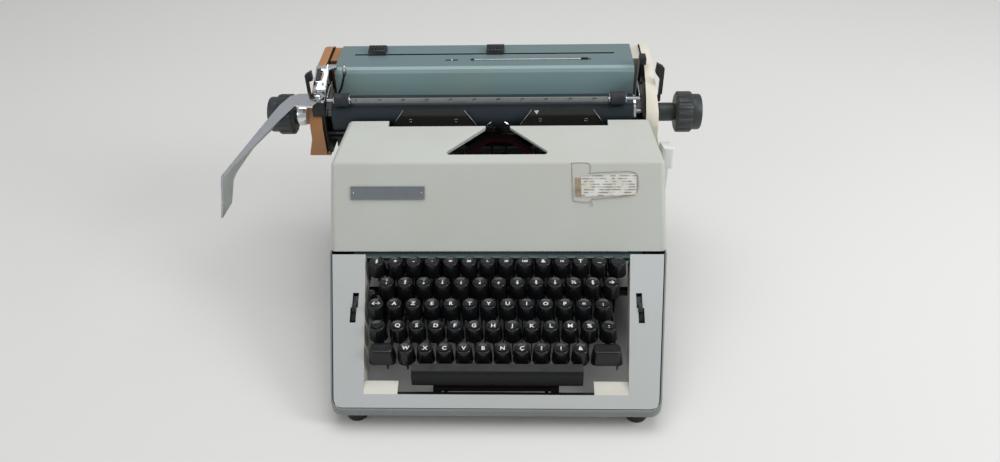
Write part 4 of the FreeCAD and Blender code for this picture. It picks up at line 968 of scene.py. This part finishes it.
bm = levers("shift_keys", [under(LOW_ROW_Z)])
wide_cap(bm, -6.63 * KEY_PITCH, -5.192 * KEY_PITCH, LOW_ROW_Y, LOW_ROW_Z)
wide_cap(bm, 4.892 * KEY_PITCH, 6.535 * KEY_PITCH, LOW_ROW_Y, LOW_ROW_Z)
piece("shift_caps", bm, KEY_FINISHES, "shift", ["shift_keys"])
bm = levers("shift_lock_key", [under(home_top)])
cap(bm, -6.21 * KEY_PITCH, home_y, home_top)
piece("cap_shift_lock", bm, KEY_FINISHES, "shift_lock", ["shift_lock_key"])
eased("space_bar", bar_black, 1.3, segments=4, angle=20)
print("wide keys done")

# %% [markdown]
# The platen is a rubber sleeve on a steel core, closed by a chrome ring at its right end. Its
# knobs have a fluted grip for the fingers and a flat disc at the end, and the left one sits in a
# chrome cup. All of it is turned about the platen's axis. The flutes are pressed in afterwards,
# by moving every other stretch of the grip's rim inwards.

# %% Platen and knobs
CARRIAGE_X, AXIS_Y, AXIS_Z = -16.5, 276.0, 195.0
ALONG_X = (1, 0, 0)
BORE = 4.05


def on_platen(bm, outline, finish, steps, side=1, **flutes):
    """Turns (radius, distance from the carriage's middle) about the platen's axis."""
    placed = [(radius, CARRIAGE_X + side * reach) for radius, reach in outline]
    turned(bm, placed, steps, (0, AXIS_Y, AXIS_Z), ALONG_X, finish, **flutes)


sleeve = [(0, -163.9), (19.3, -163.9), (20, -163.2), (20, 160.6), (19.4, 161), (0, 161)]
ring = [(0, 161), (19.6, 161), (20, 161.4), (20, 163.6), (19.6, 164), (0, 164)]
core = [(0, -232), (3.7, -232), (4, -231.6), (4, -163), (4, 163), (4, 231.6), (3.7, 232), (0, 232)]
bm = bmesh.new()
on_platen(bm, sleeve, 0, 96)
on_platen(bm, ring, 1, 96)
on_platen(bm, core, 2, 24)
piece("platen_roll", bm, [platen_rubber, chrome, bright_steel], "platen", ["platen"])

hub = [(BORE, 189.3), (9, 189.3), (10, 190.2), (10, 204), (8.8, 207.5), (BORE, 207.5)]
cup = [(BORE, 189.3), (5.5, 189.3), (8.2, 190), (10.4, 191.8), (11.8, 194.6), (12.5, 198),
       (12.5, 202), (11.9, 205.4), (10.8, 207.5), (BORE, 207.5)]
grip = [(BORE, 207.5), (17, 207.5), (20.2, 208.3), (22, 209.6), (22, 223.4), (21.2, 224.6),
        (18, 225), (BORE, 225)]
disc = [(BORE, 225), (19.2, 225), (19.2, 233.0), (18.2, 234.5), (16.5, 235), (10, 234.6),
        (BORE, 234.6)]
bm = bmesh.new()
for side, seat, finish in ((-1, cup, 1), (1, hub, 0)):
    on_platen(bm, seat, finish, 40, side)
    on_platen(bm, grip, 0, 108, side, flutes=18, depth=1.3, beyond=20)
    on_platen(bm, disc, 0, 48, side)
piece("platen_knob_pair", bm, [knob_black, chrome], "platen", ["platen_knobs"])
print("platen and knobs turned")

# %% [markdown]
# The paper bail is a thin rod with a scale, on two sprung arms. The scale is pale steel with a
# division for every character, a tenth of an inch apart, a longer one at each fifth, and a
# number at each tenth. Each division is one face of a grid, laid a hair in front of the steel.

# %% Bail and its scale
BAIL_Y, BAIL_Z = 263, 219.2
SCALE_LEFT, SCALE_FRONT = -140.5 + CARRIAGE_X, 260.57
DIVISIONS, SPACING = 106, 2.54


def bail_zone(middle, normal):
    """The scale's front is pale steel. The rest is black, but chrome under the rollers."""
    if 260.3 < middle.y < 262 and -157.5 < middle.x < 117:
        return 1
    return 0 if 142 <= abs(middle.x - CARRIAGE_X) <= 160 else 2


def scale_marks(bm):
    """Divisions and numbers on the scale, and the bright wires along the arms."""
    upright = Matrix.Rotation(math.radians(90), 4, "X")
    for number in range(DIVISIONS):
        x = SCALE_LEFT + 3 + number * SPACING
        tall = 3.0 if number % 10 == 0 else 2.2 if number % 5 == 0 else 1.4
        place = Matrix.Translation((x, SCALE_FRONT, BAIL_Z - 2.3 + tall / 2))
        shape = Matrix.Diagonal((0.27, tall / 2, 1, 1))
        made = bmesh.ops.create_grid(bm, x_segments=1, y_segments=1, size=1,
                                     matrix=place @ upright @ shape)["verts"]
        made[0].link_faces[0].material_index = PRINTED
        if number % 10 == 0:
            flat = outline_of(str(number), 3.0, 0.1)
            flat.transform(Matrix.Translation((x + 2.2, SCALE_FRONT, BAIL_Z + 1.1)) @ upright)
            print_on(bm, flat, (0, -1, 0))
    for side in (-1, 1):
        x = CARRIAGE_X + side * 166.4
        wire(bm, [(x, 262, 222.6), (x, 270, 224.0), (x, 283.0, 226.3), (x, 294.0, 225.4)], 0.6)


eased("paper_bail", [chrome, scale_steel, trim_black], 0.2, tint=bail_zone, extra=scale_marks)
print("bail done, with", DIVISIONS, "divisions")

# %% [markdown]
# Two rubber rollers on the rod press the paper against the platen. Each is turned with a raised
# band at both ends, and a chrome washer closes it at each side.

# %% Bail rollers
bm = bmesh.new()
for low, high in ((-158.0, -142.8), (135.4, 151.2)):
    low, high = low + CARRIAGE_X, high + CARRIAGE_X
    roller = [(2.1, low), (6.7, low), (7.3, low + 0.8), (7.3, low + 4), (7.0, low + 4.6),
              (7.0, high - 4.6), (7.3, high - 4), (7.3, high - 0.8), (6.7, high), (2.1, high)]
    turned(bm, roller, 40, (0, BAIL_Y, BAIL_Z), ALONG_X)
    for end, out in ((low, -1), (high, 1)):
        washer = [(2.1, end), (5.6, end), (5.9, end + out * 0.5), (5.6, end + out),
                  (2.1, end + out)]
        turned(bm, washer, 32, (0, BAIL_Y, BAIL_Z), ALONG_X, 1)
piece("bail_roller_pair", bm, [roller_rubber, chrome], "bail_rollers", ["bail_rollers"])
print("two rollers, each with two washers")

# %% [markdown]
# The paper table is one bent sheet behind the platen, in green-grey enamel. Its upright is painted
# paler as painted light, its fold gets a painted highlight, and the walls of its slots are painted
# black as painted shade. The paper support lies in its slot: a thin dark rod on a hinged foot,
# with a bright stop pin. The margin stops are black blocks with four ridges for the fingertip.

# %% Paper table and support
def table_zone(middle, normal):
    """Painted light on the upright, a painted highlight on the fold, painted shade in the slots."""
    in_slot = 320 < middle.y < 324 or 335 < middle.y < 339
    if abs(normal.z) < 0.3 and middle.z > 233 and in_slot:
        return 3
    if normal.y > -0.25 or normal.z < -0.2:
        return 0
    return 2 if 0.3 < normal.z < 0.93 else 1


def support_end(bm):
    block(bm, (CARRIAGE_X - 14.5, 320.9, 235.0), (CARRIAGE_X - 11.0, 323.1, 237.4), 0.4, 1)


# Enamel, painted light on the upright, a painted highlight on the fold, and black slot walls as
# painted shade.
eased("paper_table", [table_green, upright_painted_light, fold_painted_highlight, trim_black], 1.2, segments=3, angle=12,
      tint=table_zone)
eased("paper_support", [bright_steel, trim_black], 0.15, extra=support_end,
      tint=lambda middle, normal: 1 if middle.x > CARRIAGE_X + 104 else 0)
print("paper table done")

# %% Margin stops and the small pins on the table
for side, low in (("left", -131.5), ("right", 2.0)):
    def ridges(bm, low=low):
        for step in range(4):
            x = CARRIAGE_X + low + 4 + step * 4
            block(bm, (x - 0.7, 338.5, 240.6), (x + 0.7, 346, 243.0))
    eased(f"margin_stop_{side}", trim_black, 0.8, extra=ridges)
stop_pin = [(0, 233.9), (1.3, 233.9), (1.3, 236.2), (0.9, 236.9), (0, 237)]
tip = [(0, -6.5), (1.5, -5.6), (2.2, -3), (2.4, 0), (2.2, 3), (1.5, 5.6), (0, 6.5)]
bm = bmesh.new()
turned(bm, stop_pin, 16, (CARRIAGE_X - 36, 322, 0))
wire(bm, [(-180, 293.5, 208), (-175, 294.5, 214), (-172, 295, 223), (-169, 295.2, 232)], 1.2, 1)
turned(bm, tip, 20, (-167.9, 295.2, 237.2), (0.08, 0, 1))
piece("table_pins", bm, [chrome, trim_black], "carriage")
print("margin stops with four ridges each")

# %% [markdown]
# The lever bracket is pressed and chromed. Its right edge is turned up, slotted screws hold it
# to the cover, and the lever's pivot is a larger slotted screw. The lever itself keeps its CAD
# shape, with its edges rounded as polishing leaves them.

# %% Return lever and its bracket
PIVOT = Vector((CARRIAGE_X - 177, 264, 225))
BRACKET_BLACK_BELOW = 219.5


def bracket_details(bm):
    edge = [(CARRIAGE_X - 170.5, y, z) for y, z in ((273, 227.6), (281, 231.4), (301.5, 240.2))]
    strip(bm, edge, (0, -0.9, 2.2), 1.0)
    plate = [(CARRIAGE_X - 181.5, y, z) for y, z in ((283, 232.4), (298, 238.9))]
    strip(bm, plate, (4.2, 0, 0), -0.5, 1)
    for y, z in ((278.5, 230.0), (299, 239.0)):
        screw(bm, (CARRIAGE_X - 172.8, y, z), (0, -0.42, 0.91), 1.9)


eased("lever_bracket", [chrome, trim_black], 0.5, extra=bracket_details,
      tint=lambda middle, normal: 1 if middle.z < BRACKET_BLACK_BELOW else 0)
eased("return_lever", chrome, 0.7, segments=3)
bm = bmesh.new()
screw(bm, PIVOT - Vector((0, 0, 0.2)), (0, 0, 1), 3.6)
piece("lever_pivot_screw", bm, [chrome, trim_black], "carriage")
print("return lever turns at", tuple(PIVOT))

# %% [markdown]
# In front of the platen stand two smoky card holders and the type guide between them. The
# holders' slanted ends are chrome, with a chrome wire along each: a painted highlight for the
# light that catches their plastic edges. A small white triangle marks the right one. The guide
# ends in two bright ears, which keep the type in line.

# %% Card holders and type guide ears
CARD_FRONT = 252.3


# The slanted ends take chrome as a painted highlight.
def holder_edge(middle, normal):
    return 1 if abs(normal.y) < 0.6 and abs(normal.x) > 0.3 else 0


def holder_details(bm):
    """The white mark, an eyelet at each screw hole and a wire on each slanted end as painted
    highlight.
    """
    mark = bmesh.new()
    bmesh.ops.create_cone(mark, cap_ends=True, segments=3, radius1=3.0, radius2=3.0, depth=0.3)
    place = Matrix.Translation((41.2, 252.2, 209.4)) @ Matrix.Rotation(math.radians(90), 4, "X")
    join(bm, mark, PRINTED, place @ Matrix.Rotation(math.radians(-55), 4, "Z"))
    eyelet = [(1.3, -0.1), (1.9, -0.1), (1.9, 0.35), (1.6, 0.5), (1.3, 0.35)]
    for side in (-1, 1):
        for x in (45, 94):
            turned(bm, eyelet, 20, (side * x, 252.35, 199.5), (0, -1, 0), 1)
        for foot, crown in ((23, 36), (114, 101)):
            ends = ((foot, 193), ((foot + crown) / 2, 202.5), (crown, 212))
            wire(bm, [(side * x, CARD_FRONT, z) for x, z in ends], 0.4, 1)


eased("card_holders", [smoky_plastic, chrome, legend_white], 0.25, tint=holder_edge,
      extra=holder_details)
bm = bmesh.new()
for side in (-1, 1):
    path = [(side * x, 250.2, z)
            for x, z in ((4.2, 187.5), (4.6, 191.5), (6.2, 194.6), (9.0, 196.2))]
    strip(bm, path, (0, -1.8, 0), 0.9)
    wire(bm, [(side * x, y, z) for x, y, z in ((13, 251, 190), (12, 250.4, 194), (9.5, 250, 197),
                                               (7, 250, 198.5))], 0.55)
piece("guide_ears", bm, [chrome], "machine")
print("holders done")

# %% [markdown]
# The ribbon runs from one reel, behind a wire guide, through the vibrator's fork and on to the
# other reel. It is a strip of cloth held taut, so its path is worked out on the machine: it
# leaves each wound reel as a tangent and leans with the typebar basket in the middle.

# %% Path of the ribbon
WOUND, REEL_X, REEL_Y = 22.0, 108, 216
GUIDE_X = 38
TILT = math.radians(12)
UPRIGHT, LEANING = Vector((0, 0, 1)), Vector((0, -math.sin(TILT), math.cos(TILT)))


def ribbon_side(side):
    """Middle line and upward direction of the ribbon, from the reel to the fork."""
    guide, reel = Vector((side * GUIDE_X, 250.1)), Vector((side * REEL_X, REEL_Y))
    gap = guide - reel
    swing = math.atan2(gap.y, gap.x) + side * math.acos(WOUND / gap.length)
    leave = reel + WOUND * Vector((math.cos(swing), math.sin(swing)))
    return [(Vector((*leave, 160)), UPRIGHT),
            (Vector((*guide, 158.5)), UPRIGHT.lerp(LEANING, 0.4)),
            (Vector((side * 13, 256.9, 173.2)), LEANING),
            (Vector((side * 9, 257.73, 173.77)), LEANING)]


stations = ribbon_side(-1) + ribbon_side(1)[::-1]
ribbon_length = sum((after[0] - before[0]).length for before, after in zip(stations, stations[1:]))
print("ribbon", round(ribbon_length), "mm between the reels")

# %% [markdown]
# The strip starts as its lower edge, a line with a few points between each two stations. It is
# extruded twice, each time upwards by half the ribbon's width: first the red lower half, then
# the black upper half. The UV map for the weave takes millimetres along and up.

# %% The ribbon
HALF_WIDTH = 6.5
up_at = {round(middle.x, 3): up.normalized() for middle, up in stations}
knots = sorted(up_at)


def lean(x):
    """The upward direction at x, between the stations on both sides of it."""
    after = next((knot for knot in knots if knot >= x - 0.01), knots[-1])
    before = max((knot for knot in knots if knot <= x + 0.01), default=knots[0])
    share = 0 if after == before else (x - before) / (after - before)
    return up_at[before].lerp(up_at[after], share)


bm = bmesh.new()
uv = bm.loops.layers.uv.new("strip")
verts = [bm.verts.new(middle - HALF_WIDTH * up.normalized()) for middle, up in stations]
edges = [bm.edges.new(pair) for pair in zip(verts, verts[1:])]
bmesh.ops.subdivide_edges(bm, edges=edges, cuts=3)
row = bm.edges[:]
for finish in (0, 1):
    pulled = bmesh.ops.extrude_edge_only(bm, edges=row)["geom"]
    for vert in (part for part in pulled if isinstance(part, bmesh.types.BMVert)):
        vert.co += HALF_WIDTH * lean(vert.co.x)
    for face in (part for part in pulled if isinstance(part, bmesh.types.BMFace)):
        face.material_index = finish
    row = [part for part in pulled if isinstance(part, bmesh.types.BMEdge)
           and len(part.link_faces) == 1 and abs(part.verts[0].co.x - part.verts[1].co.x) > 0.5]
for face in bm.faces:
    for loop in face.loops:
        loop[uv].uv = (loop.vert.co.x, loop.vert.co.z)
ribbon = piece("ribbon", bm, [ribbon_red, ribbon_black], "machine")
print("ribbon faces", len(ribbon.data.polygons))

# %% [markdown]
# Each reel is a steel spool with the rest of the ribbon wound on it, so the faces at the wound
# radius take the ribbon's finish. A bent wire in front of each reel guides the strip.

# %% Reels and ribbon guides
for side, node in ((-1, "ribbon_reel_left"), (1, "ribbon_reel_right")):
    def is_wound(middle, normal, side=side):
        radius = (middle.xy - Vector((side * REEL_X, REEL_Y))).length
        return 1 if abs(radius - WOUND) < 1.5 and abs(normal.z) < 0.5 else 0
    eased(node, [frame_steel, ribbon_black], 0.3, tint=is_wound)
GUIDE_BEND = ((251.3, 187), (251.3, 182), (248.9, 179), (248.9, 151), (250.5, 148))
bm = bmesh.new()
for side in (-1, 1):
    wire(bm, [(side * GUIDE_X, y, z) for y, z in GUIDE_BEND], 0.8)
piece("ribbon_guides", bm, [bright_steel], "machine")
print("reels wound to a radius of", WOUND, "mm")

# %% [markdown]
# The hood's front carries a bare badge plate, brushed, with a raised rim. It is drawn flat on
# the hood's slope, in millimetres across and up from its lower edge, and one matrix leans it
# against the hood.

# %% Badge plate
run, rise = RIDGE_Y - FOOT_Y, RIDGE_Z - FOOT_Z
up_y, up_z = run / math.hypot(run, rise), rise / math.hypot(run, rise)
HOOD_FRONT = Matrix(((1, 0, 0, 0), (0, up_y, -up_z, FOOT_Y), (0, up_z, up_y, FOOT_Z),
                     (0, 0, 0, 1)))
badge = bmesh.new()
block(badge, (-150.8, 55.2, -0.5), (-74.3, 68.8, 0.8), 0.35)
face = max(badge.faces, key=lambda face: face.calc_center_median().z)
bmesh.ops.inset_region(badge, faces=[face], thickness=0.9, depth=-0.3, use_even_offset=True)
bm = bmesh.new()
join(bm, badge, 0, HOOD_FRONT)
for x in (-147.5, -77.6):
    screw(bm, HOOD_FRONT @ Vector((x, 62, 0.1)), (0, -up_z, up_y), 1.0, 1)
piece("badge_plate", bm, [badge_steel, chrome], "hood")
print("badge plate on a slope of", round(math.degrees(math.atan2(rise, run)), 1), "degrees")

# %% [markdown]
# Beside the badge are the remains of a paper slip: the slip itself, a browned patch at its left
# end, and thin beads of old glue that were once the edge of a larger sheet.

# %% Paper slip
GLUE_LINES = [
    [(76.1, 91.8), (76.8, 75), (78.2, 53.3)],
    [(76.1, 91.8), (85, 92.2), (95.3, 91.9), (95, 84), (94.6, 81.2)],
    [(78.2, 53.3), (86, 52.2), (97, 51.2), (97.4, 55.8)],
    [(97, 51.5), (97.5, 47.6)],
    [(94, 81.6), (120, 83), (143.4, 83.2), (143.8, 70), (143, 59.5), (120, 56.4), (97, 55)],
]
tilted = HOOD_FRONT @ Matrix.Translation((114, 69, 0)) @ Matrix.Rotation(math.radians(2.0), 4, "Z")
bm = bmesh.new()
block(bm, (-28, -10.6, -0.2), (28, 10.6, 0.16), 0.12, 0, tilted)
block(bm, (-34, -10, -0.2), (-27.5, 9, 0.08), 0.06, 1, tilted)
for line in GLUE_LINES:
    wire(bm, [HOOD_FRONT @ Vector((x, y, 0.02)) for x, y in line], 0.3, 1)
piece("paper_slip", bm, [slip_paper, dried_glue], "hood")
print("slip with", len(GLUE_LINES), "beads of glue")

# %% [markdown]
# Screws hold the casing: three through each side and six at the back. They are plated steel
# with a domed, slotted head. The sides of the casing widen to a waist below the hood's foot and
# narrow again behind it, so the place of a side screw follows from its depth.

# %% Casing screws
FRONT_HALF, WAIST_HALF, REAR_HALF, REAR_Y = 159, 174, 170, 345
SIDE_SCREWS = ((70, 34), (300, 34), (300, 88))
BACK_SCREWS = ((110, 40), (150, 96), (60, 124))


def half_width(y):
    """From the middle plane to the side of the casing."""
    if y < FOOT_Y:
        return FRONT_HALF + (WAIST_HALF - FRONT_HALF) * (y - PLATE_Y) / (FOOT_Y - PLATE_Y)
    return WAIST_HALF - (WAIST_HALF - REAR_HALF) * (y - FOOT_Y) / (REAR_Y - FOOT_Y)


bm = bmesh.new()
for side in (-1, 1):
    for y, z in SIDE_SCREWS:
        screw(bm, (side * half_width(y), y, z), (side, 0, 0), 3.2)
    for x, z in BACK_SCREWS:
        screw(bm, (side * x, REAR_Y, z), (0, 1, 0), 3.2)
piece("casing_screws", bm, [bright_steel, trim_black], "machine")
print("screws", 2 * len(SIDE_SCREWS + BACK_SCREWS))
